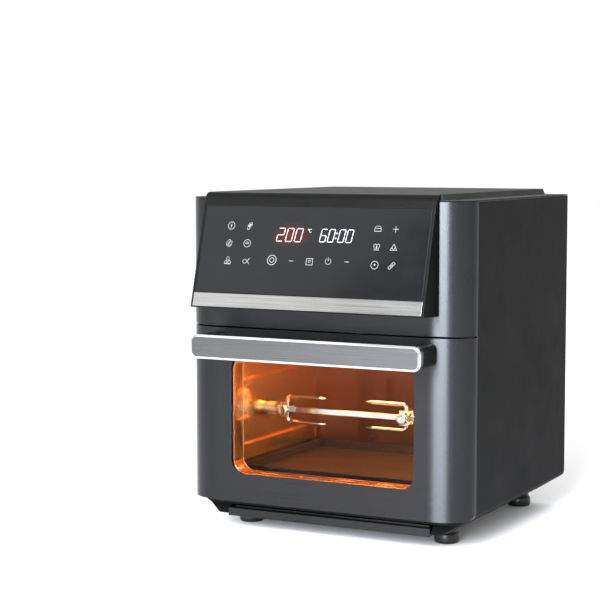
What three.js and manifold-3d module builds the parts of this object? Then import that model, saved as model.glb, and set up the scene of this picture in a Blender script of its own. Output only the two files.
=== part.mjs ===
// Countertop rotisserie oven: drop-down window door, slanted touch panel, top heater with a
// convection fan, motor-driven spit, pull-out crumb tray.
// Millimetres, +Z up, the front towards -Y. The origin is on the table, midway along X and Y.

import * as THREE from 'three';
import { mergeVertices } from 'three/addons/utils/BufferGeometryUtils.js';
import Module from 'manifold-3d';

const wasm = await Module();
wasm.setup();

// ---- driving dimensions --------------------------------------------------------------------

// Body
const BODY_WIDTH = 320;
const BODY_DEPTH = 296; // front face to rear cover
const UPPER_HEIGHT = 134.2; // upper housing's lower edge to the flat shoulders of the top cover
const PLATEAU_RISE = 5.7;
const SHOULDER_WIDTH = 29; // beside the raised middle of the top cover
const PLATEAU_SLOPE = 2.5; // how far its sides lean out
const CORNER_WIDTH = 42; // rounded front corner, across the front
const SEAM_OFFSET = 1; // side panel's seam behind the door's rear edge
const CHAMFER_WIDTH = 31; // slanted lower side, across
const CHAMFER_HEIGHT = 19.5;
const BEND_RADIUS = 7; // where the side turns into its slanted part
const PANEL_SHEET = 0.8; // outer sheet metal
const COVER_SHEET = 1; // top cover
const SHELL_WALL = 2; // front shells
const PLASTIC_WALL = 2.5;
const GAP = 0.3; // between pieces that touch
const SEAM = 1.6; // visible line between door and upper housing

// Feet
const FOOT_HEIGHT = 16.2;
const FOOT_RADIUS = 13;
const FOOT_INSET = 14.5; // centre inside the underside's edge
const FOOT_FRONT = 62; // behind the front face
const FOOT_REAR = 23; // in front of the rear

// Door
const DOOR_LIFT = 16.5; // door's lower edge above the body's underside
const DOOR_HEIGHT = 183.2;
const DOOR_DEPTH = 27; // front face to the shell's rear edge
const WINDOW_SIDE = 56; // beside the window
const WINDOW_LIFT = 30; // window's lower edge above the door's
const WINDOW_DROP = 29.2; // window's upper edge below the door's
const WINDOW_RADIUS = 14;
const OUTER_GLASS = 3;
const INNER_GLASS = 3;
const INNER_GLASS_SETBACK = 8; // inner pane's front before the shell's rear edge
const GLASS_LAP = 8; // how far the outer pane reaches behind the shell
const JAMB_WALL = 1.5;
const INNER_SHEET = 1.2;
const SEAL_WIDTH = 4.5;
const SEAL_THICKNESS = 1.7;
const SEAL_MARGIN = 3; // seal's distance outside the cavity's mouth

// Handle
const HANDLE_REACH = 42; // in front of the door
const HANDLE_INSET = 31; // bar's end inside the body's side
const HANDLE_HEIGHT = 25;
const HANDLE_THICKNESS = 8;
const HANDLE_DROP = 16.2; // bar's centre below the door's upper edge
const HANDLE_BEVEL = 2;
const BRACKET_WIDTH = 19;
const BRACKET_HEIGHT = 23;
const BRACKET_INSET = 1; // bracket's outer side inside the bar's end

// Door hinges
const HINGE_DEPTH = 10;
const HINGE_LIFT = 4; // axis above the door's lower edge
const HINGE_MARGIN = 1.86; // between the pin's end and the inside of the rounded corner
const HINGE_PIN_RADIUS = 2;
const HINGE_TONGUE = 3; // thickness of the fixed tongue
const HINGE_LUG = 4.5; // thickness of each lug in the door
const HINGE_CLEARANCE = 1; // beside and around the tongue
const TONGUE_HALF = 4;

// Control panel
const PANEL_INSET = 1; // panel's side inside the plateau's
const PANEL_REACH = 38.8; // its lower edge in front of the body
const PANEL_LIFT = 24; // its lower edge above the door's upper edge
const PANEL_UNDERCUT = 2; // the root is this much lower than the lip
const PANEL_TOP_RADIUS = 9;
const PANEL_TOP_SETBACK = 1.68; // centre of that radius behind the front face
const PANEL_FACE_WALL = 4;
const STRIP_MARGIN = 1.5;
const STRIP_HEIGHT = 14.2;
const STRIP_THICKNESS = 1;
const STRIP_SIDE = 2;
const TOUCH_GLASS_TOP = 7.4; // above the glass, to where the face starts to curve
const TOUCH_GLASS_THICKNESS = 2;
const TOUCH_GLASS_SIDE = 3;
const BOARD_THICKNESS = 1.6;
const DISPLAY_WIDTH = 112;
const DISPLAY_HEIGHT = 28;

// Cavity
const CAVITY_SIDE = 42; // beside the cavity
const CAVITY_LIFT = 23; // floor above the door's lower edge
const CAVITY_DROP = 10.2; // ceiling below the door's upper edge
const CAVITY_REAR = 71.2; // behind the cavity
const CAVITY_RADIUS = 8; // corners of its mouth
const CAVITY_SHEET = 1;
const FRAME_CLEARANCE = 1.5; // door's rear edge to the frame it closes against
const RAIL_REACH = 4;
const RAIL_HEIGHT = 6;
const RAIL_LOW = 26; // above the cavity floor
const RAIL_PITCH = 28; // between the upper rails
const RAIL_DROP = 26; // uppermost rail below the ceiling
const RAIL_END = 15; // rail's distance from the ends of the wall

// Spit and its drive
const SPIT_FORWARD = 21.5; // axis before the middle of the cavity
const SPIT_DROP = 13; // axis below the middle of the cavity
const SPIT_SIDE = 6; // square rod
const SPIT_NECK_RADIUS = 2.6;
const SPIT_NECK = 8;
const SPIT_END_PLAY = 1;
const SOCKET_RADIUS = 7;
const SOCKET_LENGTH = 13.5;
const SOCKET_HOLE = 10; // depth of the square hole
const SOCKET_STEM_RADIUS = 3;
const SOCKET_STEM = 11.5;
const MOTOR_RADIUS = 24;
const MOTOR_LENGTH = 22;
const MOTOR_BOSS = 6;
const FORK_HUB = 10;
const FORK_HUB_HALF = 8;
const PRONG_RADIUS = 1.9;
const PRONG_SPREAD = 14;
const PRONG_TIP_GAP = 48; // between the tips of the two forks
const FORK_LEFT_INSET = 20; // fork's outer face inside the cavity's wall
const FORK_RIGHT_INSET = 64;
const SCREW_RADIUS = 2;
const KNOB_RADIUS = 6;
const KNOB_LENGTH = 6;
const BEARING_HALF = 12;
const BEARING_RISE = 7;
const BEARING_DROP = 18;

// Heater and fan
const DUCT_INSET = 10.5; // inside the cavity's nearest side
const FAN_HOLE_INSET = 3; // ceiling's opening inside the duct
const DUCT_HEIGHT = 41;
const GUARD_LAP = 3; // outside the duct
const HEATER_TUBE = 3.2;
const HEATER_INSET = 13; // coil's outer turn inside the duct
const HEATER_WIDTH = 36; // inner turn to outer turn
const HEATER_TURNS = 2;
const HEATER_LEVEL = 7; // coil's plane above the ceiling
const HEATER_CROSSING = 8; // inner lead passes this far above the coil
const SHAFT_RADIUS = 3;
const IMPELLER_INSET = 21; // inside the duct
const IMPELLER_HEIGHT = 13;
const IMPELLER_BLADES = 8;
const COOLER_RADIUS = 38;
const COOLER_HEIGHT = 10;
const COOLER_BLADES = 6;
const HUB_RADIUS = 9;
const FAN_MOTOR_RADIUS = 30;
const FAN_MOTOR_HEIGHT = 36;
const FAN_BRACKET_INSET = 15; // inside the duct

// Trays
const TRAY_REAR = 25.7; // behind the crumb tray
const TRAY_HEIGHT = 6.5;
const TRAY_SHEET = 0.8;
const TRAY_BAR_INSET = 13; // bar's end inside the underside's edge
const TRAY_BAR_LAP = 4; // bar's end beside the tray
const TRAY_BAR_DEPTH = 14; // bar's front behind the front face
const TRAY_BAR_THICKNESS = 8;
const TRAY_BAR_HEIGHT = 8.5;
const TRAY_BAR_DROP = 2.1; // below the body's underside
const DRIP_TRAY_SIDE = 6; // clear of the cavity walls
const DRIP_TRAY_HEIGHT = 10;

// Lamp, probe, switch, inlet
const LAMP_REAR = 45; // before the cavity's back
const LAMP_DROP = 14; // below the middle of the cavity
const LAMP_HOLE = 16;
const LAMP_LENS_RADIUS = 19;
const BULB_RADIUS = 9;
const PROBE_INSET = 34; // inside the cavity's wall
const PROBE_DROP = 22; // below the ceiling
const PROBE_RADIUS = 2;
const PROBE_REACH = 20;
const SWITCH_INSET = 22; // inside the body's side
const SWITCH_DROP = 16; // below the door's upper edge
const PLUNGER_RADIUS = 2;
const INLET_INSET = 42; // inside the body's side
const INLET_LEVEL = 44; // above the body's underside
const INLET_RADIUS = 8;
const INLET_FLANGE = 11;
const INLET_BORE = 4;
const INLET_REACH = 2; // behind the rear cover

// ---- places worked out from them -----------------------------------------------------------

const HALF_WIDTH = BODY_WIDTH / 2;
const FRONT_Y = -(HANDLE_REACH + BODY_DEPTH + INLET_REACH) / 2;
const FACE_Y = FRONT_Y + HANDLE_REACH;
const SEAM_DEPTH = DOOR_DEPTH + SEAM_OFFSET;
const BASE_Z = FOOT_HEIGHT + GAP;
const BASE_HALF = HALF_WIDTH - CHAMFER_WIDTH;
const CHAMFER_Z = BASE_Z + CHAMFER_HEIGHT;
const REAR_SHEET_DEPTH = BODY_DEPTH - PANEL_SHEET;
const SIDE_END_DEPTH = REAR_SHEET_DEPTH - GAP;
const FOOT_X = BASE_HALF - FOOT_INSET;

const DOOR_Z = BASE_Z + DOOR_LIFT;
const DOOR_TOP = DOOR_Z + DOOR_HEIGHT;
const WINDOW_HALF = HALF_WIDTH - WINDOW_SIDE;
const WINDOW_Z = DOOR_Z + WINDOW_LIFT;
const WINDOW_TOP = DOOR_TOP - WINDOW_DROP;
const INNER_GLASS_DEPTH = DOOR_DEPTH - INNER_GLASS_SETBACK;
const INNER_SHEET_DEPTH = DOOR_DEPTH - 0.8 - INNER_SHEET;
const HINGE_REACH = HINGE_TONGUE / 2 + HINGE_CLEARANCE + HINGE_LUG - GAP; // half the pin
const HINGE_X = cornerHalf(SHELL_WALL, HINGE_DEPTH - HINGE_PIN_RADIUS) - HINGE_MARGIN - HINGE_REACH;
const HINGE_Z = DOOR_Z + HINGE_LIFT;
const HANDLE_HALF = HALF_WIDTH - HANDLE_INSET;
const HANDLE_Z = DOOR_TOP - HANDLE_DROP;

const HOUSING_Z = DOOR_TOP + SEAM;
const SHOULDER_Z = HOUSING_Z + UPPER_HEIGHT;
const COVER_Z = SHOULDER_Z - COVER_SHEET;
const PLATEAU_Z = SHOULDER_Z + PLATEAU_RISE;
const PLATEAU_HALF = HALF_WIDTH - SHOULDER_WIDTH;
const PLATEAU_FRONT = PANEL_TOP_SETBACK + 2.3;

const FRAME_DEPTH = DOOR_DEPTH + FRAME_CLEARANCE;
const CAVITY_HALF = HALF_WIDTH - CAVITY_SIDE;
const CAVITY_START = FRAME_DEPTH + CAVITY_SHEET + GAP;
const CAVITY_END = BODY_DEPTH - CAVITY_REAR;
const CAVITY_MIDDLE = (CAVITY_START + CAVITY_END) / 2;
const CAVITY_Z = DOOR_Z + CAVITY_LIFT;
const CAVITY_TOP = DOOR_TOP - CAVITY_DROP;
const CEILING_TOP = CAVITY_TOP + CAVITY_SHEET;
const CAVITY_MIDDLE_Z = (CAVITY_Z + CAVITY_TOP) / 2;
const RAIL_HEIGHTS = [
  CAVITY_Z + RAIL_LOW, CAVITY_TOP - RAIL_DROP - RAIL_PITCH, CAVITY_TOP - RAIL_DROP,
];
const LAMP_DEPTH = CAVITY_END - LAMP_REAR;
const LAMP_Z = CAVITY_MIDDLE_Z - LAMP_DROP;
const PROBE_X = CAVITY_HALF - PROBE_INSET;
const PROBE_Z = CAVITY_TOP - PROBE_DROP;
const SWITCH_X = SWITCH_INSET - HALF_WIDTH;
const SWITCH_Z = DOOR_TOP - SWITCH_DROP;
const INLET_X = HALF_WIDTH - INLET_INSET;
const INLET_Z = BASE_Z + INLET_LEVEL;

// The panel's face leans back from its lower edge to touch the rounded top edge.
const PANEL_HALF = PLATEAU_HALF - PANEL_INSET;
const PANEL_Z = DOOR_TOP + PANEL_LIFT;
const PANEL_ARC_Z = PLATEAU_Z - PANEL_TOP_RADIUS;
const PANEL_RUN = PANEL_TOP_SETBACK + PANEL_REACH;
const PANEL_SPAN = Math.hypot(PANEL_RUN, PANEL_ARC_Z - PANEL_Z);
const TILT = Math.atan2(PANEL_RUN, PANEL_ARC_Z - PANEL_Z) - Math.asin(PANEL_TOP_RADIUS / PANEL_SPAN);
const PANEL_FACE = Math.sqrt(PANEL_SPAN ** 2 - PANEL_TOP_RADIUS ** 2);
const TOUCH_GLASS_START = STRIP_MARGIN + STRIP_HEIGHT + 0.7;
const TOUCH_GLASS_END = PANEL_FACE - TOUCH_GLASS_TOP;

const SPIT_DEPTH = CAVITY_MIDDLE - SPIT_FORWARD;
const SPIT_Z = CAVITY_MIDDLE_Z - SPIT_DROP;
const SOCKET_END = -CAVITY_HALF - 1.5 + SOCKET_LENGTH;
const SPIT_START = SOCKET_END - SOCKET_HOLE + GAP;
const SPIT_END = CAVITY_HALF - SPIT_END_PLAY;
const FORK_LEFT_X = FORK_LEFT_INSET - CAVITY_HALF;
const FORK_RIGHT_X = CAVITY_HALF - FORK_RIGHT_INSET;
const PRONG_LENGTH = (FORK_RIGHT_X - FORK_LEFT_X - FORK_HUB - PRONG_TIP_GAP) / 2;

const DUCT_RADIUS = Math.min(CAVITY_HALF, (CAVITY_END - CAVITY_START) / 2) - DUCT_INSET;
const DUCT_TOP = CEILING_TOP + GAP + DUCT_HEIGHT;
const HEATER_OUTER = DUCT_RADIUS - HEATER_INSET;
const HEATER_INNER = HEATER_OUTER - HEATER_WIDTH;
const IMPELLER_TOP = DUCT_TOP - 7;
const COOLER_Z = DUCT_TOP + 3;
const FAN_MOTOR_Z = COOLER_Z + COOLER_HEIGHT + 6;
const FAN_BRACKET_HALF = DUCT_RADIUS - FAN_BRACKET_INSET;

const BASE_PLATE_TOP = BASE_Z + PANEL_SHEET;
const TRAY_BAR_HALF = BASE_HALF - TRAY_BAR_INSET;
const TRAY_HALF = TRAY_BAR_HALF - TRAY_BAR_LAP;
const TRAY_START = TRAY_BAR_DEPTH + TRAY_BAR_THICKNESS + GAP;
const TRAY_END = BODY_DEPTH - TRAY_REAR;
const SWING = Math.hypot(HINGE_DEPTH, HINGE_LIFT); // the door's lower front edge about the hinge
const SKIRT_DEPTH = HINGE_DEPTH + SWING + 0.5;
const SKIRT_REAR = SEAM_DEPTH;

/** Y of a point a given depth behind the front face. */
function atDepth(depth) {
  return FACE_Y + depth;
}

// ---- geometry helpers ----------------------------------------------------------------------

/** A closed three.js geometry as a manifold solid. */
function solid(geometry) {
  const bare = geometry.clone();
  bare.deleteAttribute('normal');
  bare.deleteAttribute('uv');
  const merged = mergeVertices(bare, 1e-4);
  const vertProperties = new Float32Array(merged.attributes.position.array);
  const triVerts = new Uint32Array(merged.index.array);
  return new wasm.Manifold(new wasm.Mesh({ numProp: 3, vertProperties, triVerts }));
}

/** A manifold solid as a three.js geometry. */
function geometryOf(body) {
  const mesh = body.getMesh();
  const geometry = new THREE.BufferGeometry();
  geometry.setAttribute('position', new THREE.BufferAttribute(mesh.vertProperties, 3));
  geometry.setIndex(new THREE.BufferAttribute(mesh.triVerts, 1));
  return geometry;
}

function join(...geometries) {
  return geometryOf(geometries.map(solid).reduce((sum, next) => sum.add(next)));
}

function cut(geometry, ...cutters) {
  return geometryOf(cutters.map(solid).reduce((rest, next) => rest.subtract(next), solid(geometry)));
}

/** Box between two values on each axis. */
function box(x0, x1, y0, y1, z0, z1) {
  const geometry = new THREE.BoxGeometry(x1 - x0, y1 - y0, z1 - z0);
  return geometry.translate((x0 + x1) / 2, (y0 + y1) / 2, (z0 + z1) / 2);
}

/** Box whose second pair of values are depths behind the front face. */
function block(x0, x1, d0, d1, z0, z1) {
  return box(x0, x1, atDepth(d0), atDepth(d1), z0, z1);
}

function shapeOf(points, holes = []) {
  const shape = new THREE.Shape(points);
  shape.holes = holes.map((hole) => new THREE.Path(hole));
  return shape;
}

function extrude(shape, length) {
  return new THREE.ExtrudeGeometry(shape, { depth: length, bevelEnabled: false, curveSegments: 8 });
}

/** Outline in X and depth, raised from z0 to z1. */
function raise(points, z0, z1) {
  const outline = points.map((p) => new THREE.Vector2(p.x, atDepth(p.y)));
  return extrude(shapeOf(outline), z1 - z0).translate(0, 0, z0);
}

/** Outline in X and Z, carried from depth d0 to d1. */
function carry(shape, d0, d1) {
  return extrude(shape, d1 - d0).rotateX(Math.PI / 2).translate(0, atDepth(d1), 0);
}

/** Outline in depth and Z, carried across from x0 to x1. */
function across(points, x0, x1) {
  const outline = points.map((p) => new THREE.Vector2(atDepth(p.x), p.y));
  const geometry = extrude(shapeOf(outline), x1 - x0);
  geometry.rotateY(Math.PI / 2).rotateX(Math.PI / 2);
  return geometry.translate(x0, 0, 0);
}

function vec(x, y) {
  return new THREE.Vector2(x, y);
}

/** Points of an arc about a centre, angles in degrees, radii along X and Y. */
function arc(cx, cy, rx, ry, from, to, steps) {
  return Array.from({ length: steps + 1 }, (_, i) => {
    const angle = THREE.MathUtils.degToRad(from + ((to - from) * i) / steps);
    return vec(cx + rx * Math.cos(angle), cy + ry * Math.sin(angle));
  });
}

/** Rounded rectangle in X and Z. */
function roundedRect(x0, x1, z0, z1, radius, steps = 5) {
  const r = radius;
  return [
    ...arc(x1 - r, z0 + r, r, r, -90, 0, steps),
    ...arc(x1 - r, z1 - r, r, r, 0, 90, steps),
    ...arc(x0 + r, z1 - r, r, r, 90, 180, steps),
    ...arc(x0 + r, z0 + r, r, r, 180, 270, steps),
  ];
}

/** Cylinder about the X, Y or Z axis between two values on it, other axes centred on 0. */
function rod(axis, radius, from, to, sides = 24) {
  const geometry = new THREE.CylinderGeometry(radius, radius, to - from, sides);
  geometry.translate(0, (from + to) / 2, 0);
  if (axis === 'x') geometry.rotateZ(-Math.PI / 2);
  if (axis === 'z') geometry.rotateX(Math.PI / 2);
  return geometry;
}

/** Solid of revolution about Z from [radius, z] pairs, up its outside and down its inside. */
function turn(profile, sides = 32) {
  const closed = profile[0][0] > 0 ? [...profile, profile[0]] : profile;
  const geometry = new THREE.LatheGeometry(closed.map(([r, z]) => vec(r, z)), sides);
  return geometry.rotateX(Math.PI / 2);
}

/** Round tube along a smooth curve through the given points. */
function tube(points, radius, steps, sides = 8) {
  const path = new THREE.CatmullRomCurve3(points, false, 'centripetal');
  const section = shapeOf(arc(0, 0, radius, radius, 0, 360 - 360 / sides, sides - 1));
  return new THREE.ExtrudeGeometry(section, { steps, extrudePath: path, bevelEnabled: false });
}

/** The body's outline seen from above: rounded front corners, straight sides, flat rear. */
function bodyOutline(inset, rear) {
  const centreX = HALF_WIDTH - CORNER_WIDTH;
  const rx = CORNER_WIDTH - inset;
  const ry = SEAM_DEPTH - inset;
  const steps = 12;
  return [
    vec(-HALF_WIDTH + inset, rear),
    ...arc(-centreX, SEAM_DEPTH, rx, ry, 180, 270, steps).filter((p) => p.y < rear - 0.1),
    ...arc(centreX, SEAM_DEPTH, rx, ry, 270, 360, steps).filter((p) => p.y < rear - 0.1),
    vec(HALF_WIDTH - inset, rear),
  ];
}

/** Half the body's width at a depth within its rounded front corners. */
function cornerHalf(inset, depth) {
  const offset = (SEAM_DEPTH - depth) / (SEAM_DEPTH - inset);
  return HALF_WIDTH - CORNER_WIDTH + (CORNER_WIDTH - inset) * Math.sqrt(1 - offset ** 2);
}

/** Half the body's width at a height on its slanted lower sides. */
function chamferHalf(inset, z) {
  const slope = CHAMFER_WIDTH / CHAMFER_HEIGHT;
  return BASE_HALF + (z - BASE_Z) * slope - inset * Math.hypot(1, slope);
}

/** Right-hand side of the body's outline seen from the front, from z0 up to z1. */
function bodySide(inset, z0, z1) {
  const lean = THREE.MathUtils.radToDeg(Math.atan2(CHAMFER_WIDTH, CHAMFER_HEIGHT));
  const bendZ = CHAMFER_Z + BEND_RADIUS * Math.tan(THREE.MathUtils.degToRad(lean / 2));
  const radius = BEND_RADIUS - inset;
  const bend = arc(HALF_WIDTH - BEND_RADIUS, bendZ, radius, radius, -lean, 0, 5);
  const foot = vec(chamferHalf(inset, z0), z0);
  return [foot, ...bend.filter((p) => p.y > z0), vec(HALF_WIDTH - inset, z1)];
}

/** The body's whole outline seen from the front. */
function bodySection(inset, z0, z1) {
  const right = bodySide(inset, z0, z1);
  const left = right.map((p) => vec(-p.x, p.y)).reverse();
  return [...right, ...left];
}

const oven = new THREE.Group();

/** Adds a named sub-part with its own material to the model or to one of its groups. */
function addPart(name, geometry, look, parent = oven) {
  const mesh = new THREE.Mesh(geometry, new THREE.MeshStandardMaterial(look));
  mesh.name = name;
  parent.add(mesh);
  return mesh;
}

/** Group whose axes are the oven's, at a depth and height. */
function place(x, depth, z) {
  const group = new THREE.Group();
  group.position.set(x, atDepth(depth), z);
  oven.add(group);
  return group;
}

/** Rectangles in rows and columns about a centre, each given to a function that makes a cutter. */
function slotGrid(centre, counts, pitch, size, cutter) {
  const slots = [];
  for (let row = 0; row < counts[1]; row += 1) {
    for (let column = 0; column < counts[0]; column += 1) {
      const u = centre[0] + (column - (counts[0] - 1) / 2) * pitch[0];
      const v = centre[1] + (row - (counts[1] - 1) / 2) * pitch[1];
      slots.push(cutter(u - size[0] / 2, u + size[0] / 2, v - size[1] / 2, v + size[1] / 2));
    }
  }
  return slots;
}

// ---- finishes ------------------------------------------------------------------------------

const FRONT = { color: 0x46474a, roughness: 0.32, metalness: 0.75 };
const BLACK_STEEL = { color: 0x272727, roughness: 0.55, metalness: 0.2 };
const COVER = { color: 0x5c5e57, roughness: 0.45, metalness: 0.3 };
const BLACK_PLASTIC = { color: 0x1c1c1a, roughness: 0.5, metalness: 0 };
const BLACK_GLASS = { color: 0x2f3032, roughness: 0.08, metalness: 0 };
const BRUSHED = { color: 0xb4b4af, roughness: 0.3, metalness: 1 };
const CAVITY_STEEL = { color: 0x9a7a4a, roughness: 0.25, metalness: 0.9 };
const STEEL = { color: 0xa8a8a8, roughness: 0.35, metalness: 1 };
const CLEAR_GLASS = { color: 0xd8e0e0, roughness: 0.03, metalness: 0, transparent: true, opacity: 0.3 };
const BLACK_RUBBER = { color: 0x151515, roughness: 0.8, metalness: 0 };
const BOARD_GREEN = { color: 0x1d4a2a, roughness: 0.6, metalness: 0 };
const DARK_TRAY = { color: 0x26221e, roughness: 0.45, metalness: 0.4 };

// ---- outer body ----------------------------------------------------------------------------

function addSidePanels() {
  for (const [name, side] of [['side_panel_left', -1], ['side_panel_right', 1]]) {
    const outer = bodySide(0, BASE_Z, COVER_Z - GAP);
    const inner = bodySide(PANEL_SHEET, BASE_Z, COVER_Z - GAP).reverse();
    const sheet = shapeOf([...outer, ...inner].map((p) => vec(side * p.x, p.y)));
    addPart(name, carry(sheet, SEAM_DEPTH + GAP, SIDE_END_DEPTH), BLACK_STEEL);
  }
}

function addTopCover() {
  const wall = COVER_SHEET;
  const plate = raise(bodyOutline(0, BODY_DEPTH), COVER_Z, SHOULDER_Z);
  const foot = PLATEAU_HALF + PLATEAU_SLOPE;
  const rise = [
    vec(-foot, COVER_Z + 0.1), vec(foot, COVER_Z + 0.1), vec(foot, SHOULDER_Z),
    vec(PLATEAU_HALF, PLATEAU_Z), vec(-PLATEAU_HALF, PLATEAU_Z), vec(-foot, SHOULDER_Z),
  ];
  const plateau = carry(shapeOf(rise), PLATEAU_FRONT, BODY_DEPTH - 0.5);
  const hollow = [
    vec(-foot + wall, COVER_Z - 1), vec(foot - wall, COVER_Z - 1), vec(foot - wall, SHOULDER_Z),
    vec(PLATEAU_HALF - wall, PLATEAU_Z - wall), vec(wall - PLATEAU_HALF, PLATEAU_Z - wall),
    vec(wall - foot, SHOULDER_Z),
  ];
  const pressed = carry(shapeOf(hollow), PLATEAU_FRONT + wall, BODY_DEPTH - 0.5 - wall);
  addPart('top_cover', cut(join(plate, plateau), pressed), COVER);
}

function addRearCover() {
  const inletHole = arc(INLET_X, INLET_Z, INLET_RADIUS + GAP, INLET_RADIUS + GAP, 0, 345, 23);
  const vent = (x0, x1, z0, z1) => block(x0, x1, REAR_SHEET_DEPTH - 1, BODY_DEPTH + 1, z0, z1);
  const vents = [
    ...slotGrid([0, SHOULDER_Z - 62], [13, 2], [15, 44], [5, 34], vent),
    ...slotGrid([0, BASE_Z + 34], [11, 1], [15, 1], [5, 20], vent),
  ];
  const sheet = shapeOf(bodySection(0, BASE_Z, COVER_Z - GAP), [inletHole]);
  addPart('rear_cover', cut(carry(sheet, REAR_SHEET_DEPTH, BODY_DEPTH), ...vents), BLACK_STEEL);
}

function addBasePlate() {
  const half = chamferHalf(PANEL_SHEET, BASE_Z) - GAP;
  const front = SKIRT_REAR + GAP;
  const plate = block(-half, half, front, SIDE_END_DEPTH, BASE_Z, BASE_PLATE_TOP);
  const vent = (x0, x1, d0, d1) => block(x0, x1, d0, d1, BASE_Z - 1, BASE_PLATE_TOP + 1);
  const vents = slotGrid([0, (front + SIDE_END_DEPTH) / 2], [9, 2], [18, 110], [6, 46], vent);
  const guides = [-1, 1].map((side) => {
    const inner = TRAY_HALF + 0.8;
    const [x0, x1] = side > 0 ? [inner, inner + 2] : [-inner - 2, -inner];
    return block(x0, x1, front + 8, TRAY_END, BASE_PLATE_TOP - 0.5, BASE_PLATE_TOP + 8);
  });
  addPart('base_plate', cut(join(plate, ...guides), ...vents), BLACK_STEEL);
}

function addBaseSkirt() {
  const top = DOOR_Z - 0.5;
  const lowTop = HINGE_Z - SWING - 0.5;
  const mouth = TRAY_BAR_HALF + 0.6;
  const inset = 0.6;
  const bridge = BASE_PLATE_TOP + GAP + TRAY_HEIGHT + 1.5;
  const arch = [
    vec(mouth, BASE_Z), vec(chamferHalf(inset, BASE_Z), BASE_Z), vec(chamferHalf(inset, top), top),
    vec(-chamferHalf(inset, top), top), vec(-chamferHalf(inset, BASE_Z), BASE_Z), vec(-mouth, BASE_Z),
    vec(-mouth, bridge), vec(mouth, bridge),
  ];
  const toes = [-1, 1].map((side) => {
    const toe = [
      vec(side * mouth, BASE_Z), vec(side * chamferHalf(inset, BASE_Z), BASE_Z),
      vec(side * chamferHalf(inset, lowTop), lowTop), vec(side * mouth, lowTop),
    ];
    return carry(shapeOf(toe), TRAY_BAR_DEPTH + 1, SKIRT_DEPTH + 2);
  });
  addPart('base_skirt', join(carry(shapeOf(arch), SKIRT_DEPTH, SKIRT_REAR), ...toes), BLACK_PLASTIC);
}

function addFeet() {
  const profile = [
    [0, 0], [FOOT_RADIUS - 1.5, 0], [FOOT_RADIUS, 1.5], [FOOT_RADIUS, FOOT_HEIGHT], [0, FOOT_HEIGHT],
  ];
  const corners = [
    ['foot_front_left', -FOOT_X, FOOT_FRONT], ['foot_front_right', FOOT_X, FOOT_FRONT],
    ['foot_rear_left', -FOOT_X, BODY_DEPTH - FOOT_REAR],
    ['foot_rear_right', FOOT_X, BODY_DEPTH - FOOT_REAR],
  ];
  for (const [name, x, depth] of corners) {
    addPart(name, turn(profile, 28), BLACK_RUBBER, place(x, depth, 0));
  }
}

function addUpperHousing() {
  const rear = DOOR_DEPTH + 0.7;
  const outer = raise(bodyOutline(0, rear), HOUSING_Z, COVER_Z - GAP);
  const inside = raise(bodyOutline(SHELL_WALL, rear + 1), HOUSING_Z + SHELL_WALL, SHOULDER_Z);
  const half = PANEL_HALF - 12;
  const opening = block(-half, half, -1, SHELL_WALL + 1, PANEL_Z + 10, SHOULDER_Z - 12);
  addPart('upper_housing', cut(outer, inside, opening), FRONT);
}

// ---- control panel -------------------------------------------------------------------------

function panelBox(half, y0, y1, z0, z1) {
  return box(-half, half, y0, y1, z0, z1);
}

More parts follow.
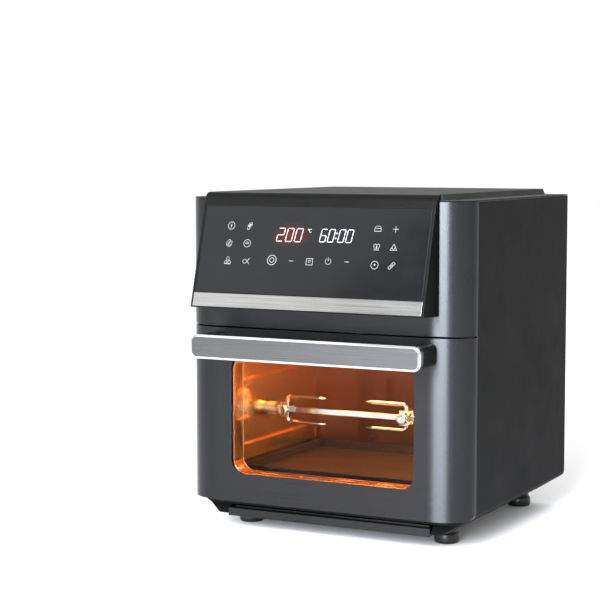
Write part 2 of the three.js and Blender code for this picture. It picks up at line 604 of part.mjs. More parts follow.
function addControlPanel() {
  const face = place(0, -PANEL_REACH, PANEL_Z);
  face.rotation.x = -TILT;
  face.updateMatrix();

  const outer = [
    vec(-GAP, PANEL_Z - PANEL_UNDERCUT), vec(-PANEL_REACH, PANEL_Z),
    ...arc(
      PANEL_TOP_SETBACK, PANEL_ARC_Z, PANEL_TOP_RADIUS, PANEL_TOP_RADIUS,
      180 - THREE.MathUtils.radToDeg(TILT), 90, 7,
    ),
    vec(PLATEAU_FRONT - GAP, PLATEAU_Z), vec(PLATEAU_FRONT - GAP, SHOULDER_Z + GAP),
    vec(-GAP, SHOULDER_Z + GAP),
  ];
  const faceDepth = (z) => (z - PANEL_Z) * Math.tan(TILT) - PANEL_REACH;
  const inward = PANEL_FACE_WALL / Math.cos(TILT);
  const low = PANEL_Z + PLASTIC_WALL;
  const high = SHOULDER_Z - PLASTIC_WALL;
  const hollow = [
    vec(faceDepth(low) + inward, low), vec(faceDepth(high) + inward, high), vec(2, high), vec(2, low),
  ];
  const innerHalf = PANEL_HALF - PLASTIC_WALL;
  const glassHalf = PANEL_HALF - TOUCH_GLASS_SIDE;
  const stripHalf = PANEL_HALF - STRIP_SIDE;
  const stripEnd = STRIP_MARGIN + STRIP_HEIGHT;
  const windowHalf = glassHalf - 17;
  const windowStart = TOUCH_GLASS_START + 12;
  const windowEnd = TOUCH_GLASS_END - 8;
  const pockets = [
    panelBox(
      glassHalf + GAP, -1, TOUCH_GLASS_THICKNESS + GAP, TOUCH_GLASS_START - GAP, TOUCH_GLASS_END + GAP,
    ),
    panelBox(stripHalf + GAP, -1, STRIP_THICKNESS + GAP, STRIP_MARGIN - GAP, stripEnd + GAP),
    panelBox(windowHalf, 0, PANEL_FACE_WALL + 4, windowStart, windowEnd),
  ].map((geometry) => geometry.applyMatrix4(face.matrix));
  const shell = cut(
    across(outer, -PANEL_HALF, PANEL_HALF), across(hollow, -innerHalf, innerHalf), ...pockets,
  );
  addPart('panel_housing', shell, BLACK_PLASTIC);

  const glass = panelBox(glassHalf, 0, TOUCH_GLASS_THICKNESS, TOUCH_GLASS_START, TOUCH_GLASS_END);
  addPart('touch_glass', glass, BLACK_GLASS, face);
  const strip = panelBox(stripHalf, 0, STRIP_THICKNESS, STRIP_MARGIN, stripEnd);
  addPart('steel_strip', strip, BRUSHED, face);
  const boardFront = PANEL_FACE_WALL + GAP;
  const boardRear = boardFront + BOARD_THICKNESS;
  const board = panelBox(windowHalf + 3, boardFront, boardRear, windowStart - 3, windowEnd + 3);
  addPart('display_board', board, BOARD_GREEN, face);
  const displayTop = TOUCH_GLASS_END - 15;
  const displayFront = TOUCH_GLASS_THICKNESS + 2 * GAP;
  const display = panelBox(
    DISPLAY_WIDTH / 2, displayFront, PANEL_FACE_WALL, displayTop - DISPLAY_HEIGHT, displayTop,
  );
  addPart('led_display', display, BLACK_PLASTIC, face);
}

function addElectronics() {
  const half = HALF_WIDTH - 40;
  const shield = block(-half, half, CAVITY_START + 3, CAVITY_START + 4, HOUSING_Z + 4, SHOULDER_Z - 12);
  addPart('heat_shield', shield, STEEL);
  const x = HALF_WIDTH - 20;
  const low = CEILING_TOP + 20;
  const board = block(x, x + BOARD_THICKNESS, 60, 200, low, low + 100);
  const transformer = block(x - 26, x + 0.5, 84, 118, low + 12, low + 40);
  const relay = block(x - 16, x + 0.5, 134, 154, low + 10, low + 30);
  const capacitor = rod('x', 8, x - 24, x + 0.5, 16).translate(0, atDepth(150), low + 62);
  const connector = block(x - 12, x + 0.5, 172, 192, low + 20, low + 70);
  addPart('power_board', join(board, transformer, relay, capacitor, connector), BOARD_GREEN);
}

// ---- door ----------------------------------------------------------------------------------

function windowShape(grow) {
  return roundedRect(
    -WINDOW_HALF - grow, WINDOW_HALF + grow, WINDOW_Z - grow, WINDOW_TOP + grow, WINDOW_RADIUS + grow,
  );
}

/** Notch in the door around a fixed hinge tongue, from the axis back and down. */
function tongueNotch(side, z0) {
  const x = side * HINGE_X;
  const half = HINGE_TONGUE / 2 + HINGE_CLEARANCE;
  const reach = TONGUE_HALF + HINGE_CLEARANCE;
  return block(x - half, x + half, HINGE_DEPTH - reach, DOOR_DEPTH + 1, z0, HINGE_Z + reach);
}

function addDoorShell() {
  const section = carry(shapeOf(bodySection(0, DOOR_Z, DOOR_TOP)), -1, DOOR_DEPTH + 1);
  const innerSection = carry(
    shapeOf(bodySection(SHELL_WALL, DOOR_Z + SHELL_WALL, DOOR_TOP - SHELL_WALL)), -1, DOOR_DEPTH + 2,
  );
  const outer = solid(raise(bodyOutline(0, DOOR_DEPTH), DOOR_Z - 1, DOOR_TOP + 1)).intersect(solid(section));
  const inner = solid(raise(bodyOutline(SHELL_WALL, DOOR_DEPTH + 1), DOOR_Z, DOOR_TOP))
    .intersect(solid(innerSection));
  let shell = outer.subtract(inner).subtract(solid(carry(shapeOf(windowShape(0)), -1, SHELL_WALL + 1)));
  for (const side of [-1, 1]) {
    const gapHalf = HINGE_TONGUE / 2 + HINGE_CLEARANCE;
    const lugs = block(
      side * HINGE_X - gapHalf - HINGE_LUG, side * HINGE_X + gapHalf + HINGE_LUG,
      HINGE_DEPTH - 3.5, HINGE_DEPTH + 3.5, DOOR_Z + SHELL_WALL / 2, HINGE_Z + 4,
    );
    const bore = rod('x', HINGE_PIN_RADIUS + GAP, side * HINGE_X - 20, side * HINGE_X + 20, 16);
    bore.translate(0, atDepth(HINGE_DEPTH), HINGE_Z);
    const clipped = solid(lugs).subtract(solid(bore));
    shell = shell.add(clipped).subtract(solid(tongueNotch(side, DOOR_Z - 1)));
  }
  addPart('door_shell', geometryOf(shell), FRONT);
}

function addDoorInnards() {
  const outline = bodySection(SHELL_WALL + GAP, DOOR_Z + SHELL_WALL + GAP, DOOR_TOP - SHELL_WALL - GAP);
  const plate = carry(shapeOf(outline, [windowShape(0)]), INNER_SHEET_DEPTH, INNER_SHEET_DEPTH + INNER_SHEET);
  const jambStart = SHELL_WALL + GAP + OUTER_GLASS + GAP;
  const jamb = carry(shapeOf(windowShape(JAMB_WALL), [windowShape(0)]), jambStart, INNER_SHEET_DEPTH + 0.5);
  const trimmed = solid(plate).intersect(
    solid(raise(bodyOutline(SHELL_WALL + GAP, DOOR_DEPTH), DOOR_Z, DOOR_TOP)),
  );
  const slots = [-66, -22, 22, 66].map((x) => (
    block(x - 9, x + 9, jambStart + 5, jambStart + 10, WINDOW_Z - JAMB_WALL - 1, WINDOW_Z + 1)
  ));
  const frame = [...slots, tongueNotch(-1, DOOR_Z), tongueNotch(1, DOOR_Z)].map(solid)
    .reduce((rest, next) => rest.subtract(next), trimmed.add(solid(jamb)));
  addPart('door_inner_frame', geometryOf(frame), STEEL);

  const outerPane = carry(shapeOf(windowShape(GLASS_LAP)), SHELL_WALL + GAP, SHELL_WALL + GAP + OUTER_GLASS);
  addPart('outer_glass', outerPane, CLEAR_GLASS);
  const innerPane = carry(shapeOf(windowShape(-GAP)), INNER_GLASS_DEPTH, INNER_GLASS_DEPTH + INNER_GLASS);
  addPart('inner_glass', innerPane, CLEAR_GLASS);

  const seat = (grow) => roundedRect(
    -CAVITY_HALF - grow, CAVITY_HALF + grow, CAVITY_Z - grow, CAVITY_TOP + grow, CAVITY_RADIUS + grow,
  );
  const sealDepth = INNER_SHEET_DEPTH + INNER_SHEET + GAP;
  const ring = shapeOf(seat(SEAL_MARGIN + SEAL_WIDTH), [seat(SEAL_MARGIN)]);
  addPart('door_seal', carry(ring, sealDepth, sealDepth + SEAL_THICKNESS), BLACK_RUBBER);
}

function addHandle() {
  const flat = roundedRect(
    -HANDLE_HALF + HANDLE_BEVEL, HANDLE_HALF - HANDLE_BEVEL,
    -HANDLE_HEIGHT / 2 + HANDLE_BEVEL, HANDLE_HEIGHT / 2 - HANDLE_BEVEL, 5,
  );
  const bar = new THREE.ExtrudeGeometry(shapeOf(flat), {
    depth: HANDLE_THICKNESS - 2 * HANDLE_BEVEL, bevelEnabled: true,
    bevelThickness: HANDLE_BEVEL, bevelSize: HANDLE_BEVEL, bevelSegments: 2,
  });
  bar.rotateX(Math.PI / 2).translate(0, HANDLE_THICKNESS - HANDLE_BEVEL, 0);
  addPart('handle_bar', bar, BRUSHED, place(0, -HANDLE_REACH, HANDLE_Z));
  for (const [name, side] of [['handle_bracket_left', -1], ['handle_bracket_right', 1]]) {
    const outer = side * (HANDLE_HALF - BRACKET_INSET);
    const inner = outer - side * BRACKET_WIDTH;
    const section = roundedRect(
      Math.min(inner, outer), Math.max(inner, outer), HANDLE_Z - BRACKET_HEIGHT / 2,
      HANDLE_Z + BRACKET_HEIGHT / 2, 6,
    );
    addPart(name, carry(shapeOf(section), HANDLE_THICKNESS - HANDLE_REACH + GAP, -GAP), BLACK_PLASTIC);
  }
}

function addHinges() {
  for (const [label, side] of [['left', -1], ['right', 1]]) {
    const x = side * HINGE_X;
    const tongue = [
      ...arc(HINGE_DEPTH, HINGE_Z, TONGUE_HALF, TONGUE_HALF, 90, 270, 8),
      vec(FRAME_DEPTH - GAP, HINGE_Z - TONGUE_HALF), vec(FRAME_DEPTH - GAP, HINGE_Z + TONGUE_HALF),
    ];
    const plate = across(tongue, x - HINGE_TONGUE / 2, x + HINGE_TONGUE / 2);
    const bore = rod('x', HINGE_PIN_RADIUS + GAP, x - 5, x + 5, 16);
    bore.translate(0, atDepth(HINGE_DEPTH), HINGE_Z);
    addPart(`hinge_tongue_${label}`, cut(plate, bore), STEEL);
    const pin = rod('x', HINGE_PIN_RADIUS, x - HINGE_REACH, x + HINGE_REACH, 16);
    addPart(`hinge_pin_${label}`, pin, STEEL, place(0, HINGE_DEPTH, HINGE_Z));
  }
}

// ---- cavity --------------------------------------------------------------------------------

function addCavityFrame() {
  const outline = bodySection(PANEL_SHEET + GAP, DOOR_Z + 1, DOOR_TOP - 0.2);
  const mouth = roundedRect(-CAVITY_HALF, CAVITY_HALF, CAVITY_Z, CAVITY_TOP, CAVITY_RADIUS);
  const holeRadius = PLUNGER_RADIUS + 0.5;
  const switchHole = arc(SWITCH_X, SWITCH_Z, holeRadius, holeRadius, 0, 330, 11);
  const frame = carry(shapeOf(outline, [mouth, switchHole]), FRAME_DEPTH, FRAME_DEPTH + CAVITY_SHEET);
  addPart('cavity_front_frame', frame, STEEL);
}

/** Side wall with three rails, which stop short around each seat. */
function cavityWall(side, seats) {
  const middle = side * (CAVITY_HALF + CAVITY_SHEET / 2);
  const [x0, x1] = [middle - CAVITY_SHEET / 2, middle + CAVITY_SHEET / 2];
  const wall = block(x0, x1, CAVITY_START, CAVITY_END, CAVITY_Z + GAP, CAVITY_TOP - GAP);
  const rails = RAIL_HEIGHTS.map((z) => {
    const lean = RAIL_HEIGHT / 3;
    const root = side * (CAVITY_HALF + 0.5);
    const crest = side * (CAVITY_HALF - RAIL_REACH);
    const bead = shapeOf([
      vec(root, z - RAIL_HEIGHT / 2 - lean), vec(crest, z - RAIL_HEIGHT / 2),
      vec(crest, z + RAIL_HEIGHT / 2), vec(root, z + RAIL_HEIGHT / 2 + lean),
    ]);
    return cut(carry(bead, CAVITY_START + RAIL_END, CAVITY_END - RAIL_END), ...seats);
  });
  return join(wall, ...rails);
}

function addCavity() {
  const driveHole = rod('x', SOCKET_RADIUS + 1.5, -CAVITY_HALF - 5, -CAVITY_HALF + 5);
  driveHole.translate(0, atDepth(SPIT_DEPTH), SPIT_Z);
  addPart('cavity_left_wall', cut(cavityWall(-1, []), driveHole), CAVITY_STEEL);
  const lampHole = rod('x', LAMP_HOLE, CAVITY_HALF - 1, CAVITY_HALF + 5);
  lampHole.translate(0, atDepth(LAMP_DEPTH), LAMP_Z);
  const railFace = CAVITY_HALF - RAIL_REACH - 1;
  const lensSeat = rod('x', LAMP_LENS_RADIUS + 1, railFace, CAVITY_HALF + 1);
  lensSeat.translate(0, atDepth(LAMP_DEPTH), LAMP_Z);
  const bearingSeat = block(
    railFace, CAVITY_HALF + 1, SPIT_DEPTH - BEARING_HALF - 1, SPIT_DEPTH + BEARING_HALF + 1,
    SPIT_Z - BEARING_DROP - 1, SPIT_Z + BEARING_RISE + 1,
  );
  const rightWall = cavityWall(1, [lensSeat, bearingSeat]);
  addPart('cavity_right_wall', cut(rightWall, lampHole), CAVITY_STEEL);

  const half = CAVITY_HALF + CAVITY_SHEET;
  const probeHole = arc(PROBE_X, PROBE_Z, PROBE_RADIUS + 0.6, PROBE_RADIUS + 0.6, 0, 330, 11);
  const backOutline = [
    vec(-half, CAVITY_Z - CAVITY_SHEET), vec(half, CAVITY_Z - CAVITY_SHEET),
    vec(half, CEILING_TOP), vec(-half, CEILING_TOP),
  ];
  const back = carry(shapeOf(backOutline, [probeHole]), CAVITY_END + GAP, CAVITY_END + GAP + CAVITY_SHEET);
  addPart('cavity_back', back, CAVITY_STEEL);

  const crumbSlot = (x0, x1, d0, d1) => block(x0, x1, d0, d1, CAVITY_Z - CAVITY_SHEET - 1, CAVITY_Z + 1);
  const columns = (CAVITY_HALF - 28) / 3;
  const rows = (CAVITY_END - CAVITY_START) / 2 - 43.5;
  const crumbSlots = slotGrid([0, CAVITY_MIDDLE], [7, 3], [columns, rows], [4, rows - 20], crumbSlot);
  const floor = block(-half, half, CAVITY_START, CAVITY_END, CAVITY_Z - CAVITY_SHEET, CAVITY_Z);
  addPart('cavity_floor', cut(floor, ...crumbSlots), CAVITY_STEEL);
  const ceiling = block(-half, half, CAVITY_START, CAVITY_END, CAVITY_TOP, CEILING_TOP);
  const fanHole = rod('z', DUCT_RADIUS - FAN_HOLE_INSET, CAVITY_TOP - 1, CEILING_TOP + 1, 36);
  fanHole.translate(0, atDepth(CAVITY_MIDDLE), 0);
  addPart('cavity_ceiling', cut(ceiling, fanHole), CAVITY_STEEL);
}

function addTrays() {
  const half = CAVITY_HALF - DRIP_TRAY_SIDE;
  const z0 = CAVITY_Z + GAP;
  const drip = block(-half, half, CAVITY_START + 4, CAVITY_END - 4, z0, z0 + DRIP_TRAY_HEIGHT);
  const dripHollow = block(-half + 1, half - 1, CAVITY_START + 5, CAVITY_END - 5, z0 + 1, z0 + 20);
  addPart('drip_tray', cut(drip, dripHollow), DARK_TRAY);

  const low = BASE_PLATE_TOP + GAP;
  const wall = TRAY_SHEET;
  const pan = block(-TRAY_HALF, TRAY_HALF, TRAY_START, TRAY_END, low, low + TRAY_HEIGHT);
  const hollow = block(
    -TRAY_HALF + wall, TRAY_HALF - wall, TRAY_START + wall, TRAY_END - wall, low + wall, low + 20,
  );
  addPart('crumb_tray', cut(pan, hollow), STEEL);
  const barZ = BASE_Z - TRAY_BAR_DROP;
  const bar = block(
    -TRAY_BAR_HALF, TRAY_BAR_HALF, TRAY_BAR_DEPTH, TRAY_BAR_DEPTH + TRAY_BAR_THICKNESS,
    barZ, barZ + TRAY_BAR_HEIGHT,
  );
  addPart('tray_bar', bar, FRONT);
}

// ---- heater and fan ------------------------------------------------------------------------

/** Cutters for a guard's rings of curved slots, for the air to pass. */
function guardSlots(outer) {
  const slots = [];
  for (const [from, to, count] of [[0.18, 0.33, 6], [0.42, 0.58, 8], [0.67, 0.84, 10]]) {
    const [r0, r1] = [from * outer, to * outer];
    for (let i = 0; i < count; i += 1) {
      const start = (360 / count) * i;
      const end = start + 360 / count - 9;
      const slot = [...arc(0, 0, r1, r1, start, end, 3), ...arc(0, 0, r0, r0, end, start, 3)];
      slots.push(extrude(shapeOf(slot), CAVITY_SHEET + 2));
    }
  }
  return slots;
}

function addHeater(air) {
  const guardZ = CAVITY_TOP - GAP - CAVITY_SHEET;
  const guardRadius = DUCT_RADIUS + GUARD_LAP;
  const disc = rod('z', guardRadius, guardZ, guardZ + CAVITY_SHEET, 36);
  const slots = guardSlots(guardRadius).map((slot) => slot.translate(0, 0, guardZ - 1));
  addPart('heater_guard', cut(disc, ...slots), STEEL, air);

  const coilZ = CEILING_TOP + HEATER_LEVEL;
  const leadZ = coilZ + HEATER_CROSSING;
  const out = DUCT_RADIUS + 8;
  const startAngle = 100;
  const turns = 20 * HEATER_TURNS;
  const spiral = Array.from({ length: turns + 1 }, (_, i) => {
    const angle = THREE.MathUtils.degToRad(startAngle + (360 * HEATER_TURNS * i) / turns);
    const radius = HEATER_INNER + ((HEATER_OUTER - HEATER_INNER) * i) / turns;
    return new THREE.Vector3(radius * Math.cos(angle), radius * Math.sin(angle), coilZ);
  });
  const innerLead = [
    new THREE.Vector3(8, out, leadZ), new THREE.Vector3(8, HEATER_INNER + 22, leadZ),
    new THREE.Vector3(6, HEATER_INNER + 9, leadZ), new THREE.Vector3(1, HEATER_INNER + 2, coilZ + 4),
  ];
  const last = spiral[spiral.length - 1];
  const outerLead = [
    new THREE.Vector3(last.x - 7, last.y + 1, coilZ), new THREE.Vector3(last.x - 12, last.y + 8, coilZ),
    new THREE.Vector3(last.x - 12, out, coilZ),
  ];
  addPart('heater_coil', tube([...innerLead, ...spiral, ...outerLead], HEATER_TUBE, 90), STEEL, air);

  const z0 = CEILING_TOP + GAP;
  const wall = CAVITY_SHEET;
  const bore = SHAFT_RADIUS + 2;
  const pan = turn([
    [DUCT_RADIUS - wall, z0], [DUCT_RADIUS, z0], [DUCT_RADIUS, DUCT_TOP], [bore, DUCT_TOP],
    [bore, DUCT_TOP - wall], [DUCT_RADIUS - wall, DUCT_TOP - wall],
  ], 36);
  const leadHole = (x, z) => rod('y', HEATER_TUBE + 0.8, 40, out + 5, 14).translate(x, 0, z);
  addPart('fan_duct', cut(pan, leadHole(8, leadZ), leadHole(last.x - 12, coilZ)), STEEL, air);
}

/** Radial blades about a hub with a bore for the shaft. */
function impeller(hubZ0, hubZ1, bladeZ0, bladeZ1, tip, count, pitch) {
  const bore = rod('z', SHAFT_RADIUS + GAP, hubZ0 - 1, hubZ1 + 1, 20);
  const parts = [rod('z', HUB_RADIUS, hubZ0, hubZ1, 24)];
  for (let i = 0; i < count; i += 1) {
    const blade = box(HUB_RADIUS - 2, tip, -0.7, 0.7, -(bladeZ1 - bladeZ0) / 2, (bladeZ1 - bladeZ0) / 2);
    blade.rotateX(pitch).translate(0, 0, (bladeZ0 + bladeZ1) / 2);
    parts.push(blade.rotateZ((2 * Math.PI * i) / count));
  }
  return { parts, bore };
}

function addFan(air) {
  const low = IMPELLER_TOP - IMPELLER_HEIGHT;
  const radius = DUCT_RADIUS - IMPELLER_INSET;
  const hot = impeller(low, IMPELLER_TOP, low, IMPELLER_TOP - 0.6, radius - 2, IMPELLER_BLADES, 0);
  const disc = rod('z', radius, IMPELLER_TOP - 1.2, IMPELLER_TOP, 32);
  addPart('fan_impeller', cut(join(...hot.parts, disc), hot.bore), STEEL, air);
  const coolTop = COOLER_Z + COOLER_HEIGHT;
  const cool = impeller(COOLER_Z, coolTop, COOLER_Z + 1, coolTop - 1, COOLER_RADIUS, COOLER_BLADES, 0.6);
  addPart('cooling_impeller', cut(join(...cool.parts), cool.bore), BLACK_PLASTIC, air);
  const motorTop = FAN_MOTOR_Z + FAN_MOTOR_HEIGHT;
  addPart('fan_shaft', rod('z', SHAFT_RADIUS, low - 2, motorTop + 4, 20), STEEL, air);

  const bore = SHAFT_RADIUS + GAP;
  const can = turn([
    [bore, FAN_MOTOR_Z], [FAN_MOTOR_RADIUS, FAN_MOTOR_Z], [FAN_MOTOR_RADIUS, motorTop], [bore, motorTop],
  ]);
  const legs = [-1, 1].map((side) => {
    const x = side * FAN_BRACKET_HALF;
    return box(x - 1, x + 1, -8, 8, DUCT_TOP + GAP, FAN_MOTOR_Z + 1);
  });
  const bar = box(-FAN_BRACKET_HALF - 1, FAN_BRACKET_HALF + 1, -8, 8, FAN_MOTOR_Z - 1, FAN_MOTOR_Z + 1);
  const clear = rod('z', bore, FAN_MOTOR_Z - 2, FAN_MOTOR_Z + 3, 32);
  addPart('fan_motor', cut(join(can, bar, ...legs), clear), STEEL, air);
}

// ---- spit and its drive --------------------------------------------------------------------

function addDrive(axis) {
  const wallX = -CAVITY_HALF - CAVITY_SHEET;
  const bossEnd = wallX - 1;
  const canEnd = bossEnd - MOTOR_BOSS;
  const stemEnd = SOCKET_END - SOCKET_LENGTH - SOCKET_STEM;
  const earHalf = MOTOR_RADIUS + 10;
  const posts = [-1, 1].map((side) => (
    rod('x', 3, canEnd - 1, wallX - GAP, 12).translate(0, side * (earHalf - 4), 0)
  ));
  const body = join(
    rod('x', MOTOR_RADIUS, canEnd - MOTOR_LENGTH, canEnd), rod('x', 7, canEnd - 1, bossEnd),
    box(canEnd - 2, canEnd, -earHalf, earHalf, -6, 6), ...posts,
  );
  const bore = rod('x', SOCKET_STEM_RADIUS + GAP, stemEnd - 1, bossEnd + 1, 20);
  addPart('rotisserie_motor', cut(body, bore), STEEL, axis);

  const hole = SPIT_SIDE / 2 + GAP;
  const socket = join(
    rod('x', SOCKET_RADIUS, SOCKET_END - SOCKET_LENGTH, SOCKET_END),
    rod('x', SOCKET_STEM_RADIUS, stemEnd, SOCKET_END - SOCKET_LENGTH + 1, 20),
  );
  const square = box(SOCKET_END - SOCKET_HOLE, SOCKET_END + 1, -hole, hole, -hole, hole);
  addPart('drive_socket', cut(socket, square), BLACK_PLASTIC, axis);
}

function addSpit(axis) {
  const half = SPIT_SIDE / 2;
  const rodEnd = SPIT_END - SPIT_NECK;
  const square = box(SPIT_START, rodEnd, -half, half, -half, half);
  addPart('spit_rod', join(square, rod('x', SPIT_NECK_RADIUS, rodEnd - 1, SPIT_END, 20)), BRUSHED, axis);

  const face = CAVITY_HALF - GAP;
  const slot = SPIT_NECK_RADIUS + GAP;
  const bracket = box(face - 5, face, -BEARING_HALF, BEARING_HALF, -BEARING_DROP, BEARING_RISE);
  const seat = join(
    rod('x', slot, face - 6, face + 1, 20), box(face - 6, face + 1, -slot, slot, 0, BEARING_RISE + 1),
  );
  addPart('spit_bearing', cut(bracket, seat), STEEL, axis);
}

function forkGeometry() {
  const half = FORK_HUB_HALF;
  const middle = FORK_HUB / 2;
  const hole = SPIT_SIDE / 2 + GAP;
  const prongs = [-1, 1].map((side) => {
    const bend = [
      [0, half - 3], [0, PRONG_SPREAD - 4], [1, PRONG_SPREAD - 1.5], [3.5, PRONG_SPREAD],
      [9, PRONG_SPREAD], [PRONG_LENGTH, PRONG_SPREAD],
    ];
    const points = bend.map(([x, z]) => new THREE.Vector3(middle + x, 0, side * z));
    return tube(points, PRONG_RADIUS, 14);
  });
  return cut(
    join(box(0, FORK_HUB, -half, half, -half, half), ...prongs),
    box(-1, FORK_HUB + 1, -hole, hole, -hole, hole),
    rod('y', SCREW_RADIUS + GAP, -half - 1, -1, 16).translate(middle, 0, 0),
  );
}

function addForks(axis) {
  for (const [label, x, facing] of [['left', FORK_LEFT_X, 0], ['right', FORK_RIGHT_X, Math.PI]]) {
    const holder = new THREE.Group();
    holder.position.x = x;
    holder.rotation.y = facing;
    axis.add(holder);
    addPart(`fork_${label}`, forkGeometry(), BRUSHED, holder);
    const front = -FORK_HUB_HALF - GAP;
    const screw = join(
      rod('y', KNOB_RADIUS, front - KNOB_LENGTH, front, 20),
      rod('y', SCREW_RADIUS, front - 1, -SPIT_SIDE / 2 - GAP, 16),
    ).translate(FORK_HUB / 2, 0, 0);
    addPart(`thumbscrew_${label}`, screw, STEEL, holder);
  }
}

// ---- lamp, probe, switch, inlet ------------------------------------------------------------

function addLamp() {
  const lamp = place(0, LAMP_DEPTH, LAMP_Z);
  const inside = CAVITY_HALF - GAP;
  addPart('lamp_lens', rod('x', LAMP_LENS_RADIUS, inside - 2.5, inside, 28), CLEAR_GLASS, lamp);
  const tip = CAVITY_HALF + CAVITY_SHEET + 4;
  const r = BULB_RADIUS;
  const bulb = turn([
    [0, tip], [r * 0.5, tip + r * 0.13], [r * 0.87, tip + r * 0.5], [r, tip + r], [r * 0.87, tip + r * 1.5],
    [r * 0.55, tip + r * 2], [r * 0.55, tip + r * 3], [0, tip + r * 3],
  ], 18).rotateY(Math.PI / 2);
  addPart('lamp_bulb', bulb, CLEAR_GLASS, lamp);
}

function addProbe() {
  const back = CAVITY_END + GAP + CAVITY_SHEET + GAP;
  const stem = rod('y', PROBE_RADIUS, atDepth(CAVITY_END - PROBE_REACH), atDepth(back + 6), 14);
  const flange = rod('y', PROBE_RADIUS * 2.5, atDepth(back), atDepth(back + 3), 14);
  const probe = join(stem, flange).translate(PROBE_X, 0, PROBE_Z);
  addPart('temperature_probe', probe, STEEL);
}

function addDoorSwitch() {
  const front = CAVITY_START;
  const body = block(SWITCH_X - 7, SWITCH_X + 7, front, front + 16, SWITCH_Z - 8, SWITCH_Z + 8);
  const bore = rod('y', PLUNGER_RADIUS + GAP, atDepth(front - 1), atDepth(front + 11), 16);
  addPart('door_switch', cut(body, bore.translate(SWITCH_X, 0, SWITCH_Z)), BLACK_PLASTIC);
  const tip = INNER_SHEET_DEPTH + INNER_SHEET + GAP;
  const plunger = rod('y', PLUNGER_RADIUS, atDepth(tip), atDepth(front + 9), 16);
  addPart('switch_plunger', plunger.translate(SWITCH_X, 0, SWITCH_Z), BLACK_PLASTIC);
}

function addCordInlet() {
  const rear = BODY_DEPTH + INLET_REACH;
  const seat = BODY_DEPTH + GAP;
  const profile = [
    [INLET_BORE, -rear], [INLET_FLANGE, -rear], [INLET_FLANGE, -seat], [INLET_RADIUS, -seat],
    [INLET_RADIUS, -BODY_DEPTH + 8], [INLET_BORE, -BODY_DEPTH + 8],
  ];
  const bush = turn(profile, 24).rotateX(Math.PI / 2);
  addPart('cord_inlet', bush, BLACK_RUBBER, place(INLET_X, 0, INLET_Z));
}

// ---- assembly ------------------------------------------------------------------------------

addSidePanels();
addTopCover();
addRearCover();
addBasePlate();
addBaseSkirt();
addFeet();
addUpperHousing();
addControlPanel();
addElectronics();
addDoorShell();
addDoorInnards();
addHandle();
addHinges();
addCavityFrame();
addCavity();
addTrays();
const airAxis = place(0, CAVITY_MIDDLE, 0);
addHeater(airAxis);
addFan(airAxis);
const spitAxis = place(0, SPIT_DEPTH, SPIT_Z);
addDrive(spitAxis);
addSpit(spitAxis);
addForks(spitAxis);
addLamp();
addProbe();
addDoorSwitch();
addCordInlet();

export default oven;
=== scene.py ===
"""Looks of a countertop rotisserie oven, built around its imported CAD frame.

Every length is in metres in the frame's own axes: X to the right, -Y out of the front, +Z up.
New shells are outlines or profiles worked out as whole numpy arrays and carried along a line.
"""

import logging
import math
from dataclasses import dataclass, field
from enum import Enum, auto

import bmesh
import bpy
import numpy as np
from mathutils import Matrix, Vector


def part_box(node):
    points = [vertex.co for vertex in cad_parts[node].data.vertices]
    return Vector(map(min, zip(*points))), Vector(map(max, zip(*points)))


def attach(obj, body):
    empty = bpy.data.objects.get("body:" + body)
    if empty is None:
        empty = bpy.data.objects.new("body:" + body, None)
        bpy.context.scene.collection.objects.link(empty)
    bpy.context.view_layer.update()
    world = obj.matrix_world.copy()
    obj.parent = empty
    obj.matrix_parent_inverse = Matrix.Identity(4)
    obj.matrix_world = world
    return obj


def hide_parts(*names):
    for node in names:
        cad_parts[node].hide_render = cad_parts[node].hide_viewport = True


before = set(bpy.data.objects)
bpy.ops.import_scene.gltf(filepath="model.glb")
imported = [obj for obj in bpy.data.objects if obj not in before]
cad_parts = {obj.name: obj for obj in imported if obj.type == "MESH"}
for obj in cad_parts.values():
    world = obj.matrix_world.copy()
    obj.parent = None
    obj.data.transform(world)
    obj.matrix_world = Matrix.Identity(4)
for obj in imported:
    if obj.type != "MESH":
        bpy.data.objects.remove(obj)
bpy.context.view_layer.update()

LOG = logging.getLogger("oven")
Colour = tuple[float, float, float]
MM = 0.001


class Axis(Enum):
    """Direction that a brushed grain, a rod or a prism runs along."""

    X = 0
    Y = 1
    Z = 2


# ---- finishes --------------------------------------------------------------------------------


